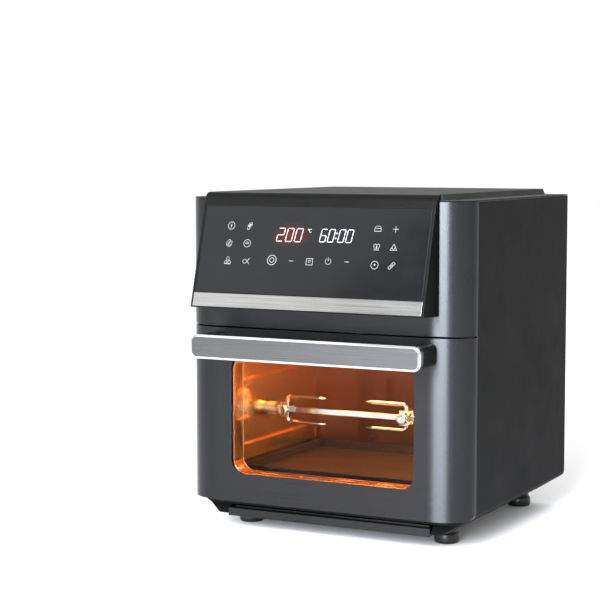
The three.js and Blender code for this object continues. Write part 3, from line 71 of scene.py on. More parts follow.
class Nodes:
    """Builds one material's node tree around a Principled shader."""

    def __init__(self, name: str) -> None:
        """Starts an empty tree.

        Args:
            name: The material's name.
        """
        self.material = bpy.data.materials.new(name)
        self.material.use_nodes = True
        self.tree = self.material.node_tree
        self.tree.nodes.clear()
        self.output = self.tree.nodes.new("ShaderNodeOutputMaterial")
        self.shader = self.tree.nodes.new("ShaderNodeBsdfPrincipled")
        self.link(self.shader.outputs["BSDF"], self.output.inputs["Surface"])

    def link(self, source: bpy.types.NodeSocket, target: bpy.types.NodeSocket) -> None:
        """Joins two sockets."""
        self.tree.links.new(source, target)

    def coords(self, scale: tuple, offset: tuple = (0.0, 0.0, 0.0)) -> bpy.types.NodeSocket:
        """Object coordinates, moved and then stretched.

        Args:
            scale: Factor on each axis.
            offset: Point of the object that becomes the pattern's origin.

        Returns:
            The mapped vector's socket.
        """
        source = self.tree.nodes.new("ShaderNodeTexCoord")
        mapping = self.tree.nodes.new("ShaderNodeMapping")
        mapping.inputs["Scale"].default_value = scale
        mapping.inputs["Location"].default_value = tuple(-o * s for o, s in zip(offset, scale))
        self.link(source.outputs["Object"], mapping.inputs["Vector"])
        return mapping.outputs["Vector"]

    def noise(self, scale: tuple, detail: float = 2.0, rough: float = 0.5) -> bpy.types.NodeSocket:
        """Noise in object space.

        Args:
            scale: Cells per metre on each axis.
            detail: Octaves.
            rough: Weight of the finer octaves.

        Returns:
            The factor's socket.
        """
        node = self.tree.nodes.new("ShaderNodeTexNoise")
        node.inputs["Scale"].default_value = 1.0
        node.inputs["Detail"].default_value = detail
        node.inputs["Roughness"].default_value = rough
        self.link(self.coords(scale), node.inputs["Vector"])
        return node.outputs["Fac"]

    def span(self, factor: bpy.types.NodeSocket, low: float, high: float) -> bpy.types.NodeSocket:
        """Spreads a factor of about 0.3 to 0.7 over a range.

        Args:
            factor: Socket to spread.
            low: Value at 0.3.
            high: Value at 0.7.

        Returns:
            The spread value's socket.
        """
        node = self.tree.nodes.new("ShaderNodeMapRange")
        node.inputs["From Min"].default_value = 0.3
        node.inputs["From Max"].default_value = 0.7
        node.inputs["To Min"].default_value = low
        node.inputs["To Max"].default_value = high
        self.link(factor, node.inputs["Value"])
        return node.outputs["Result"]

    def mix(self, factor: bpy.types.NodeSocket, first: Colour, second: Colour) -> bpy.types.NodeSocket:
        """Colour between two by a factor.

        Args:
            factor: Socket that moves from the first colour to the second.
            first: Colour at 0.
            second: Colour at 1.

        Returns:
            The colour's socket.
        """
        node = self.tree.nodes.new("ShaderNodeMix")
        node.data_type = "RGBA"
        node.inputs["A"].default_value = (*first, 1.0)
        node.inputs["B"].default_value = (*second, 1.0)
        self.link(factor, node.inputs["Factor"])
        return node.outputs["Result"]

    def sum(self, first: bpy.types.NodeSocket, second: bpy.types.NodeSocket,
            weight: float) -> bpy.types.NodeSocket:
        """Adds a weighted share of a second value to a first.

        Args:
            first: Socket kept whole.
            second: Socket that is weighted.
            weight: Share of the second.

        Returns:
            The sum's socket.
        """
        node = self.tree.nodes.new("ShaderNodeMath")
        node.operation = "MULTIPLY_ADD"
        node.inputs[1].default_value = weight
        self.link(second, node.inputs[0])
        self.link(first, node.inputs[2])
        return node.outputs[0]

    def bump(self, height: bpy.types.NodeSocket, strength: float, distance: float) -> None:
        """Raises the surface by a height.

        Args:
            height: Socket of the height.
            strength: How much the shading follows it.
            distance: Height in metres of a full step.
        """
        node = self.tree.nodes.new("ShaderNodeBump")
        node.inputs["Strength"].default_value = strength
        node.inputs["Distance"].default_value = distance
        self.link(height, node.inputs["Height"])
        self.link(node.outputs["Normal"], self.shader.inputs["Normal"])

    def across(self, along: Axis) -> None:
        """Spreads gloss across lines that run along an axis of the object."""
        turn = self.tree.nodes.new("ShaderNodeVectorTransform")
        turn.vector_type, turn.convert_from, turn.convert_to = "VECTOR", "OBJECT", "WORLD"
        way = [0.0, 0.0, 0.0]
        way[0 if along is Axis.Z else 2] = 1.0
        turn.inputs["Vector"].default_value = way
        self.link(turn.outputs["Vector"], self.shader.inputs["Tangent"])

    def put(self, **values: float) -> None:
        """Sets shader sockets that are the same all over, underscores standing for spaces."""
        for name, value in values.items():
            self.shader.inputs[name.replace("_", " ")].default_value = value


@dataclass(frozen=True)
class Finish:
    """Colour and gloss that every finish has."""

    name: str
    colour: Colour
    roughness: float

    def build(self) -> bpy.types.Material:
        """Makes the material; each kind of finish has its own."""
        raise NotImplementedError


@dataclass(frozen=True)
class Brushed(Finish):
    """Sheet metal with fine lines along one axis and faint cloudy handling marks."""

    along: Axis = Axis.X
    lines: float = 1500.0
    contrast: float = 0.16
    depth: float = 0.000012
    clouds: float = 14.0
    anisotropy: float = 0.35

    def build(self) -> bpy.types.Material:
        """Stretched noise moves colour, roughness and height; broad noise moves roughness.

        Returns:
            The material.
        """
        nodes = Nodes(self.name)
        scale = [self.lines] * 3
        scale[self.along.value] = self.lines / 150.0
        grain = nodes.noise(tuple(scale), 3.0, 0.6)
        clouds = nodes.noise((self.clouds,) * 3, 3.0, 0.55)
        dark = tuple(c * (1.0 - self.contrast) for c in self.colour)
        light = tuple(min(1.0, c * (1.0 + self.contrast)) for c in self.colour)
        both = nodes.sum(grain, clouds, 0.25)
        nodes.link(nodes.mix(nodes.span(both, -0.1, 0.85), dark, light), nodes.shader.inputs["Base Color"])
        rough = nodes.span(grain, self.roughness * 0.8, self.roughness * 1.15)
        rough = nodes.sum(rough, nodes.span(clouds, -1.0, 1.0), self.roughness * 0.12)
        nodes.link(rough, nodes.shader.inputs["Roughness"])
        nodes.bump(grain, 0.35, self.depth)
        nodes.put(Metallic=1.0, Anisotropic=self.anisotropy)
        nodes.across(self.along)
        return nodes.material


@dataclass(frozen=True)
class Moulded(Finish):
    """Paint, plastic or rubber with a fine pebbled skin and slight tone changes."""

    pebble: float = 1800.0
    depth: float = 0.00003
    specular: float = 0.3

    def build(self) -> bpy.types.Material:
        """Fine noise raises the skin; broad noise moves tone and roughness.

        Returns:
            The material.
        """
        nodes = Nodes(self.name)
        skin = nodes.noise((self.pebble,) * 3, 2.0, 0.5)
        broad = nodes.noise((22.0,) * 3, 4.0, 0.6)
        dark = tuple(c * 0.84 for c in self.colour)
        light = tuple(c * 1.16 for c in self.colour)
        both = nodes.sum(broad, skin, 0.3)
        nodes.link(nodes.mix(nodes.span(both, 0.0, 0.8), dark, light), nodes.shader.inputs["Base Color"])
        rough = nodes.span(broad, self.roughness * 0.9, min(1.0, self.roughness * 1.12))
        nodes.link(rough, nodes.shader.inputs["Roughness"])
        nodes.bump(skin, 0.25, self.depth)
        nodes.put(Specular_IOR_Level=self.specular)
        return nodes.material


@dataclass(frozen=True)
class GlowPaintedSteel(Finish):
    """Rolled sheet of the cavity, faintly wavy, with baked specks; its gold to orange colour is painted warm
    light from the heater.
    """

    deep_glow: Colour = (0.62, 0.34, 0.14)
    wave_strength: float = 0.6
    wave_height: float = 0.0034

    def build(self) -> bpy.types.Material:
        """Broad noise mixes two tones of painted warm light; long waves bend reflections.

        Returns:
            The material.
        """
        nodes = Nodes(self.name)
        # Patches of painted warm light: the base colour shifts between two glow tones.
        glow_patches = nodes.noise((9.0, 9.0, 13.0), 4.0, 0.6)
        specks = nodes.noise((620.0,) * 3, 2.0, 0.5)
        lines = nodes.noise((700.0, 700.0, 9.0), 2.0, 0.5)
        waves = nodes.noise((38.0, 38.0, 5.0), 1.0, 0.4)
        nodes.link(nodes.mix(nodes.span(glow_patches, 0.0, 0.75), self.colour, self.deep_glow),
                   nodes.shader.inputs["Base Color"])
        rough = nodes.span(glow_patches, self.roughness * 0.8, self.roughness * 1.25)
        rough = nodes.sum(rough, nodes.span(specks, -1.0, 1.0), 0.035)
        nodes.link(rough, nodes.shader.inputs["Roughness"])
        height = nodes.sum(waves, lines, 0.01)
        nodes.bump(height, self.wave_strength, self.wave_height)
        nodes.put(Metallic=1.0)
        return nodes.material


@dataclass(frozen=True)
class DisplayGlass(Finish):
    """Black-backed glass whose backing glows a little around the lit digits."""

    glow_centre: tuple[float, float, float] = (0.0, 0.0, 0.0)
    glow_reach: tuple[float, float, float] = (0.024, 0.02, 0.014)
    glow_colour: Colour = (0.5, 0.012, 0.01)
    glow_strength: float = 0.28
    specular: float = 0.22

    def build(self) -> bpy.types.Material:
        """A spherical gradient about the digits gives the glow; noise gives faint wipe marks.

        Returns:
            The material.
        """
        nodes = Nodes(self.name)
        wipes = nodes.noise((30.0, 30.0, 60.0), 3.0, 0.6)
        backing = tuple(c * 1.3 for c in self.colour)
        nodes.link(nodes.mix(nodes.span(wipes, 0.0, 1.0), self.colour, backing),
                   nodes.shader.inputs["Base Color"])
        nodes.link(nodes.span(wipes, self.roughness * 0.7, self.roughness * 1.5),
                   nodes.shader.inputs["Roughness"])
        sphere = nodes.tree.nodes.new("ShaderNodeTexGradient")
        sphere.gradient_type = "SPHERICAL"
        scale = tuple(1.0 / reach for reach in self.glow_reach)
        nodes.link(nodes.coords(scale, self.glow_centre), sphere.inputs["Vector"])
        nodes.link(nodes.mix(sphere.outputs["Fac"], (0.0, 0.0, 0.0), self.glow_colour),
                   nodes.shader.inputs["Emission Color"])
        nodes.put(Emission_Strength=self.glow_strength, Specular_IOR_Level=self.specular, IOR=1.5)
        return nodes.material


@dataclass(frozen=True)
class ClearGlass(Finish):
    """Clear pane with the faintest uneven gloss; its low index keeps stacked panes clear."""

    index: float = 1.06

    def build(self) -> bpy.types.Material:
        """Transmission through a slightly wiped surface.

        Returns:
            The material.
        """
        nodes = Nodes(self.name)
        wipes = nodes.noise((26.0, 26.0, 44.0), 3.0, 0.6)
        rough = nodes.span(wipes, self.roughness * 0.5, self.roughness)
        nodes.link(rough, nodes.shader.inputs["Roughness"])
        shade = tuple(c * 0.97 for c in self.colour)
        nodes.link(nodes.mix(nodes.span(wipes, 0.0, 1.0), self.colour, shade),
                   nodes.shader.inputs["Base Color"])
        nodes.put(Transmission_Weight=1.0, IOR=self.index)
        return nodes.material


@dataclass(frozen=True)
class Glowing(Finish):
    """Surface that gives its own light, slightly uneven."""

    strength: float = 1.0

    def build(self) -> bpy.types.Material:
        """Noise varies the emitted colour a little.

        Returns:
            The material.
        """
        nodes = Nodes(self.name)
        uneven = nodes.noise((160.0,) * 3, 2.0, 0.5)
        dim = tuple(c * 0.75 for c in self.colour)
        colour = nodes.mix(nodes.span(uneven, 0.0, 1.0), dim, self.colour)
        nodes.link(colour, nodes.shader.inputs["Emission Color"])
        nodes.link(colour, nodes.shader.inputs["Base Color"])
        nodes.link(nodes.span(uneven, self.roughness, self.roughness * 1.2), nodes.shader.inputs["Roughness"])
        nodes.put(Emission_Strength=self.strength)
        return nodes.material


@dataclass(frozen=True)
class Finishes:
    """Every finish of the oven."""

    front_steel: Finish = Brushed("front_steel", (0.034, 0.0352, 0.0368), 0.33, Axis.X, 1500.0, 0.12,
                                  0.000012, anisotropy=0.85)
    side_paint: Finish = Moulded("side_paint", (0.0062, 0.0062, 0.0063), 0.5, 1600.0, 0.00003, 0.03)
    cover_paint: Finish = Moulded("cover_paint", (0.02, 0.0215, 0.018), 0.5, 900.0, 0.00005, 0.055)
    black_plastic: Finish = Moulded("black_plastic", (0.0036, 0.0036, 0.0033), 0.34, 1400.0, 0.00003, 0.07)
    # The two edge finishes below are lighter copies of the black plastic and the side paint, laid on rounded
    # edges as painted highlights.
    edge_highlight_plastic: Finish = Moulded("edge_highlight_plastic", (0.05, 0.05, 0.049), 0.24, 1400.0, 0.00001, 0.4)
    edge_highlight_paint: Finish = Moulded("edge_highlight_paint", (0.028, 0.0285, 0.029), 0.3, 1400.0, 0.00001, 0.3)
    bracket_plastic: Finish = Moulded("bracket_plastic", (0.006, 0.006, 0.0062), 0.26, 1200.0,
                                        0.00002, 0.16)
    strip_steel: Finish = Brushed("strip_steel", (0.262, 0.262, 0.255), 0.24, Axis.X, 1300.0, 0.22,
                                  0.00002, anisotropy=0.5)
    handle_face: Finish = Brushed("handle_face", (0.106, 0.1055, 0.1065), 0.27, Axis.X, 1600.0, 0.12, 0.00002)
    handle_bevel: Finish = Brushed("handle_bevel", (0.6, 0.605, 0.61), 0.16, Axis.X, 900.0, 0.04,
                                   0.000004, anisotropy=0.0)
    bar_steel: Finish = Brushed("bar_steel", (0.028, 0.0283, 0.029), 0.34, Axis.X, 1500.0, 0.15, 0.00002)
    feet_rubber: Finish = Moulded("feet_rubber", (0.006, 0.006, 0.006), 0.34, 1200.0, 0.00003, 0.3)
    seal_rubber: Finish = Moulded("seal_rubber", (0.02, 0.02, 0.02), 0.6, 1500.0, 0.00005, 0.25)
    pane: Finish = ClearGlass("pane", (0.98, 0.97, 0.95), 0.02)
    lamp_glass: Finish = Glowing("lamp_glass", (1.0, 0.62, 0.25), 0.2, 6.0)
    # The cavity and jamb finishes paint the heater's warm light into the steel as gold; the back finish
    # paints the back and floor dark red-brown, painted shade under painted orange light.
    cavity_steel: Finish = GlowPaintedSteel("cavity_steel", (0.9, 0.6, 0.25), 0.2, (0.7, 0.34, 0.1))
    back_steel: Finish = GlowPaintedSteel("back_steel", (0.085, 0.03, 0.013), 0.34, (0.04, 0.011, 0.005))
    frame_steel: Finish = Brushed("frame_steel", (0.42, 0.39, 0.35), 0.32, Axis.X, 1700.0, 0.1, 0.00001)
    jamb_steel: Finish = GlowPaintedSteel("jamb_steel", (0.72, 0.44, 0.2), 0.22, (0.45, 0.17, 0.06))
    tray_coating: Finish = Moulded("tray_coating", (0.008, 0.006, 0.005), 0.4, 700.0, 0.00006, 0.16)
    crumb_steel: Finish = Brushed("crumb_steel", (0.03, 0.03, 0.03), 0.42, Axis.X, 900.0, 0.15, 0.00002)
    heater_tube: Finish = Glowing("heater_tube", (1.0, 0.22, 0.04), 0.5, 3.5)
    motor_steel: Finish = Brushed("motor_steel", (0.45, 0.45, 0.44), 0.4, Axis.Z, 500.0, 0.15, 0.00003)
    bright_steel: Finish = Brushed("bright_steel", (0.42, 0.4, 0.38), 0.16, Axis.X, 700.0, 0.06,
                                   0.00001, anisotropy=0.0)
    board_mask: Finish = Moulded("board_mask", (0.03, 0.14, 0.06), 0.5, 400.0, 0.0001, 0.4)
    # Grey print on the glass that also glows a little of its own: the print is real, its glow is painted
    # light.
    symbol_print_glow: Finish = Glowing("symbol_print_glow", (0.3, 0.31, 0.315), 0.4, 0.5)
    digit_red: Finish = Glowing("digit_red", (1.0, 0.5, 0.45), 0.3, 0.5)
    digit_white: Finish = Glowing("digit_white", (0.6, 0.6, 0.62), 0.3, 0.22)


FINISHES = Finishes()
_made: dict[str, bpy.types.Material] = {}


def material(finish: Finish) -> bpy.types.Material:
    """The one material of a finish, made when first asked for.

    Args:
        finish: The finish wanted.

    Returns:
        Its material.
    """
    if finish.name not in _made:
        _made[finish.name] = finish.build()
    return _made[finish.name]


# ---- meshes ----------------------------------------------------------------------------------


@dataclass
class Surface:
    """Vertices and faces of one closed surface, with a finish number for each face."""

    points: np.ndarray
    faces: list[tuple[int, ...]]
    finish: list[int] = field(default_factory=list)

    def __post_init__(self) -> None:
        """Gives every face the first finish where none is stated."""
        if not self.finish:
            self.finish = [0] * len(self.faces)

    def joined(self, *others: "Surface") -> "Surface":
        """This surface and others as one, still separate shells.

        Args:
            others: Surfaces to add.

        Returns:
            The joined surface.
        """
        points, faces, finish = [self.points], list(self.faces), list(self.finish)
        start = len(self.points)
        for other in others:
            points.append(other.points)
            faces += [tuple(i + start for i in face) for face in other.faces]
            finish += other.finish
            start += len(other.points)
        return Surface(np.vstack(points), faces, finish)


def stack(loops: np.ndarray, finish: list[int] | None = None, capped: bool = True) -> Surface:
    """Skin over loops of equal length, each a closed ring, with flat ends.

    Point (k, i) of the skin is point i of loop k; quad (k, i) spans loops k and k+1.

    Args:
        loops: Array of shape (loops, points, 3).
        finish: Finish number of each band, then of the first and the last cap.
        capped: Whether the first and last loops are closed with a face.

    Returns:
        The skin.
    """
    count, size = loops.shape[:2]
    index = np.arange(count * size).reshape(count, size)
    turned = np.roll(index, -1, axis=1)
    quads = np.stack([index[:-1], turned[:-1], turned[1:], index[1:]], axis=-1).reshape(-1, 4)
    faces = [tuple(q) for q in quads.tolist()]
    bands = finish[:count - 1] if finish else [0] * (count - 1)
    marks = np.repeat(bands, size).tolist()
    if capped:
        faces += [tuple(index[0][::-1].tolist()), tuple(index[-1].tolist())]
        marks += finish[count - 1:] if finish else [0, 0]
    return Surface(loops.reshape(-1, 3), faces, marks)


def prism(outline: np.ndarray, low: float, high: float, along: Axis) -> Surface:
    """Outline carried straight from one value to another.

    Args:
        outline: Points of shape (n, 2) in the two axes other than `along`, in X, Y, Z order.
        low: Start on the axis.
        high: End on the axis.
        along: The axis.

    Returns:
        The closed prism, whichever way round the outline runs.
    """
    others = [a for a in range(3) if a != along.value]
    loops = np.zeros((2, len(outline), 3))
    loops[:, :, others[0]] = outline[:, 0]
    loops[:, :, others[1]] = outline[:, 1]
    loops[0, :, along.value] = low
    loops[1, :, along.value] = high
    nxt = np.roll(outline, -1, axis=0)
    area = np.sum(outline[:, 0] * nxt[:, 1] - nxt[:, 0] * outline[:, 1])
    clockwise = area < 0
    if along is Axis.Y:
        clockwise = not clockwise
    return stack(loops[:, ::-1] if clockwise else loops)


def block(low: tuple, high: tuple) -> Surface:
    """Box between two corners, meant to be bevelled or to cut with."""
    outline = np.array([(low[0], low[1]), (high[0], low[1]), (high[0], high[1]), (low[0], high[1])])
    return prism(outline, low[2], high[2], Axis.Z)


def lathe(profile: np.ndarray, centre: tuple, along: Axis, sides: int = 48) -> Surface:
    """Profile of (radius, place) turned about an axis through a centre.

    Point (k, i) lies at radius k and angle 2 pi i / sides.

    Args:
        profile: Array of shape (n, 2), from the low end to the high end.
        centre: A point of the axis, added to every point.
        along: The axis.
        sides: Points round it.

    Returns:
        The closed turned surface.
    """
    angle = np.linspace(0.0, 2.0 * math.pi, sides, endpoint=False)
    loops = np.zeros((len(profile), sides, 3))
    first, second = (along.value + 1) % 3, (along.value + 2) % 3
    loops[:, :, first] = profile[:, :1] * np.cos(angle)
    loops[:, :, second] = profile[:, :1] * np.sin(angle)
    loops[:, :, along.value] = profile[:, 1:]
    return stack(loops + np.array(centre))


def sweep(path: np.ndarray, radii: np.ndarray, across: tuple, sides: int = 14) -> Surface:
    """Round tube along a flat path; its ring at a point stands across the path's direction.

    Args:
        path: Points of shape (n, 3) in one plane.
        radii: Radius at each point.
        across: Unit vector across the path's plane.
        sides: Points round the tube.

    Returns:
        The closed tube.
    """
    tangent = np.gradient(path, axis=0)
    tangent /= np.linalg.norm(tangent, axis=1, keepdims=True)
    side = np.cross(np.array(across), tangent)
    angle = np.linspace(0.0, 2.0 * math.pi, sides, endpoint=False)
    ring = (np.cos(angle)[None, :, None] * side[:, None, :]
            + np.sin(angle)[None, :, None] * -np.array(across)[None, None, :])
    return stack(path[:, None, :] + ring * radii[:, None, None])


def arc(cx: float, cy: float, rx: float, ry: float, start: float, end: float, steps: int) -> np.ndarray:
    """Points of an elliptic arc: centre plus radii times cosine and sine, angles in degrees."""
    angle = np.radians(np.linspace(start, end, steps + 1))
    return np.stack([cx + rx * np.cos(angle), cy + ry * np.sin(angle)], axis=1)


def rounded(x0: float, x1: float, z0: float, z1: float, radius: float, steps: int = 12) -> np.ndarray:
    """Rectangle whose corners are quarter circles.

    Args:
        x0, x1, z0, z1: Its sides.
        radius: Of the corners.
        steps: Points on each corner.

    Returns:
        The outline, counter-clockwise.
    """
    r = radius
    return np.vstack([
        arc(x1 - r, z0 + r, r, r, -90, 0, steps), arc(x1 - r, z1 - r, r, r, 0, 90, steps),
        arc(x0 + r, z1 - r, r, r, 90, 180, steps), arc(x0 + r, z0 + r, r, r, 180, 270, steps),
    ])


def merge_and_face_out(piece: bpy.types.Object) -> None:
    """Merges doubled points and turns every face outwards.

    Args:
        piece: Object whose mesh is mended.
    """
    mesh = bmesh.new()
    mesh.from_mesh(piece.data)
    bmesh.ops.remove_doubles(mesh, verts=mesh.verts, dist=1e-6)
    bmesh.ops.recalc_face_normals(mesh, faces=mesh.faces)
    mesh.to_mesh(piece.data)
    mesh.free()


class Maker:
    """Turns surfaces into Blender objects, cuts them and hands them to the frame."""

    @staticmethod
    def raw(name: str, surface: Surface) -> bpy.types.Object:
        """Object of a surface, smooth shaded.

        Args:
            name: Object's name.
            surface: Its surface.

        Returns:
            The object.
        """
        mesh = bpy.data.meshes.new(name)
        mesh.from_pydata(surface.points.tolist(), [], surface.faces)
        mesh.polygons.foreach_set("material_index", np.array(surface.finish, dtype=np.int32))
        mesh.polygons.foreach_set("use_smooth", np.ones(len(mesh.polygons), dtype=bool))
        mesh.update()
        piece = bpy.data.objects.new(name, mesh)
        bpy.context.scene.collection.objects.link(piece)
        return piece

    @staticmethod
    def carve(piece: bpy.types.Object, *cutters: Surface, keep: bool = False) -> None:
        """Takes cutters out of a piece, or keeps only what lies inside them.

        Args:
            piece: Object that is cut.
            cutters: Closed surfaces.
            keep: True to keep the common part.
        """
        tools = []
        for number, cutter in enumerate(cutters):
            tool = Maker.raw(f"tool_{number}", cutter)
            change = piece.modifiers.new("cut", "BOOLEAN")
            change.object = tool
            change.operation = "INTERSECT" if keep else "DIFFERENCE"
            change.solver = "EXACT"
            tools.append(tool)
        graph = bpy.context.evaluated_depsgraph_get()
        mesh = bpy.data.meshes.new_from_object(piece.evaluated_get(graph))
        piece.modifiers.clear()
        old, piece.data = piece.data, mesh
        bpy.data.meshes.remove(old)
        for tool in tools:
            bpy.data.objects.remove(tool)
        mesh.polygons.foreach_set("use_smooth", np.ones(len(mesh.polygons), dtype=bool))

    @staticmethod
    def soften(piece: bpy.types.Object, width: float, segments: int = 3, angle: float = 28.0,
               edge_finish: int = -1) -> None:
        """Rounds edges sharper than an angle and evens the shading of flat faces.

        Args:
            piece: Object to round.
            width: Of the rounding.
            segments: Across it.
            angle: In degrees.
            edge_finish: Finish number of the rounding, or -1 for its neighbours'.
        """
        bevel = piece.modifiers.new("rounding", "BEVEL")
        bevel.width = width
        bevel.segments = segments
        bevel.limit_method = "ANGLE"
        bevel.angle_limit = math.radians(angle)
        bevel.use_clamp_overlap = True
        bevel.material = edge_finish
        even = piece.modifiers.new("even", "WEIGHTED_NORMAL")
        even.keep_sharp = True

    @staticmethod
    def crisp(piece: bpy.types.Object, angle: float = 28.0) -> None:
        """Keeps edges sharper than an angle sharp in the shading."""
        piece.data.set_sharp_from_angle(angle=math.radians(angle))

    @staticmethod
    def give(piece: bpy.types.Object, body: str, slot: str, finishes: list[Finish],
             replaces: tuple[str, ...] = ()) -> None:
        """Dresses a new piece and ties it to the frame, keeping its faces' finish numbers.

        Args:
            piece: The object.
            body: Body it rides on.
            slot: The record's slot it shows; not used.
            finishes: Materials, in the order of its face numbers.
            replaces: CAD nodes it stands for.
        """
        numbers = np.zeros(len(piece.data.polygons), dtype=np.int32)
        piece.data.polygons.foreach_get("material_index", numbers)
        piece.data.materials.clear()
        for finish in finishes:
            piece.data.materials.append(material(finish))
        piece.data.polygons.foreach_set("material_index", np.minimum(numbers, len(finishes) - 1))
        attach(piece, body)
        if replaces:
            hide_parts(*replaces)
        LOG.info("%s on %s: %d faces", piece.name, body, len(piece.data.polygons))

    @staticmethod
    def dress(finish: Finish, *nodes: str) -> None:
        """Gives CAD nodes that stay a finish.

        Args:
            finish: The finish.
            nodes: Node names.
        """
        for node in nodes:
            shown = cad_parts[node]
            shown.data.materials.clear()
            shown.data.materials.append(material(finish))


# ---- the body's common outline ------------------------------------------------------------------


@dataclass(frozen=True)
class Form:
    """Outline that the door, the upper housing and the covers share."""

    half: float = 0.160
    face: float = -0.128
    rear: float = 0.168
    corner_width: float = 0.042
    seam: float = 0.028
    base: float = 0.0165
    base_half: float = 0.129
    chamfer: float = 0.0195
    bend: float = 0.007
    door_depth: float = 0.027
    housing_depth: float = 0.0277

    def plan(self, inset: float, rear: float) -> np.ndarray:
        """Outline from above: flat front, elliptic corners, straight to a rear line.

        Args:
            inset: Distance inside the outer skin.
            rear: Depth of the rear line.

        Returns:
            Points in X and Y, counter-clockwise.
        """
        centre = self.half - self.corner_width
        rx, ry = self.corner_width - inset, self.seam - inset
        left = arc(-centre, self.seam, rx, ry, 180, 270, 40)
        right = arc(centre, self.seam, rx, ry, 270, 360, 40)
        inner = np.vstack([left, right])
        inner = inner[inner[:, 1] < rear - 0.0001]
        edge = self.half - inset
        points = np.vstack([[(-edge, rear)], inner, [(edge, rear)]])
        return points + np.array([0.0, self.face])

    def foot_half(self, inset: float, z: float) -> float:
        """Half width on the slanted lower side at a height."""
        slope = (self.half - self.base_half) / self.chamfer
        return self.base_half + (z - self.base) * slope - inset * math.hypot(1.0, slope)

    def flank(self, inset: float, low: float, high: float) -> np.ndarray:
        """Right-hand edge of the outline from the front: slanted foot, bend, upright.

        Args:
            inset: Distance inside the outer skin.
            low: Lowest height.
            high: Highest height.

        Returns:
            Points in X and Z, upwards.
        """
        lean = math.degrees(math.atan2(self.half - self.base_half, self.chamfer))
        turn_z = self.base + self.chamfer + self.bend * math.tan(math.radians(lean / 2.0))
        radius = self.bend - inset
        bend = arc(self.half - self.bend, turn_z, radius, radius, -lean, 0.0, 14)
        bend = bend[bend[:, 1] > low]
        return np.vstack([[(self.foot_half(inset, low), low)], bend, [(self.half - inset, high)]])

    def section(self, inset: float, low: float, high: float) -> np.ndarray:
        """Whole outline from the front.

        Args:
            inset: Distance inside the outer skin.
            low: Lowest height.
            high: Highest height.

        Returns:
            Points in X and Z, counter-clockwise.
        """
        right = self.flank(inset, low, high)
        left = right[::-1] * np.array([-1.0, 1.0])
        return np.vstack([right, left])

    def depth(self, value: float) -> float:
        """Y of a depth behind the front face."""
        return self.face + value


FORM = Form()


# ---- sub-assemblies ------------------------------------------------------------------------------


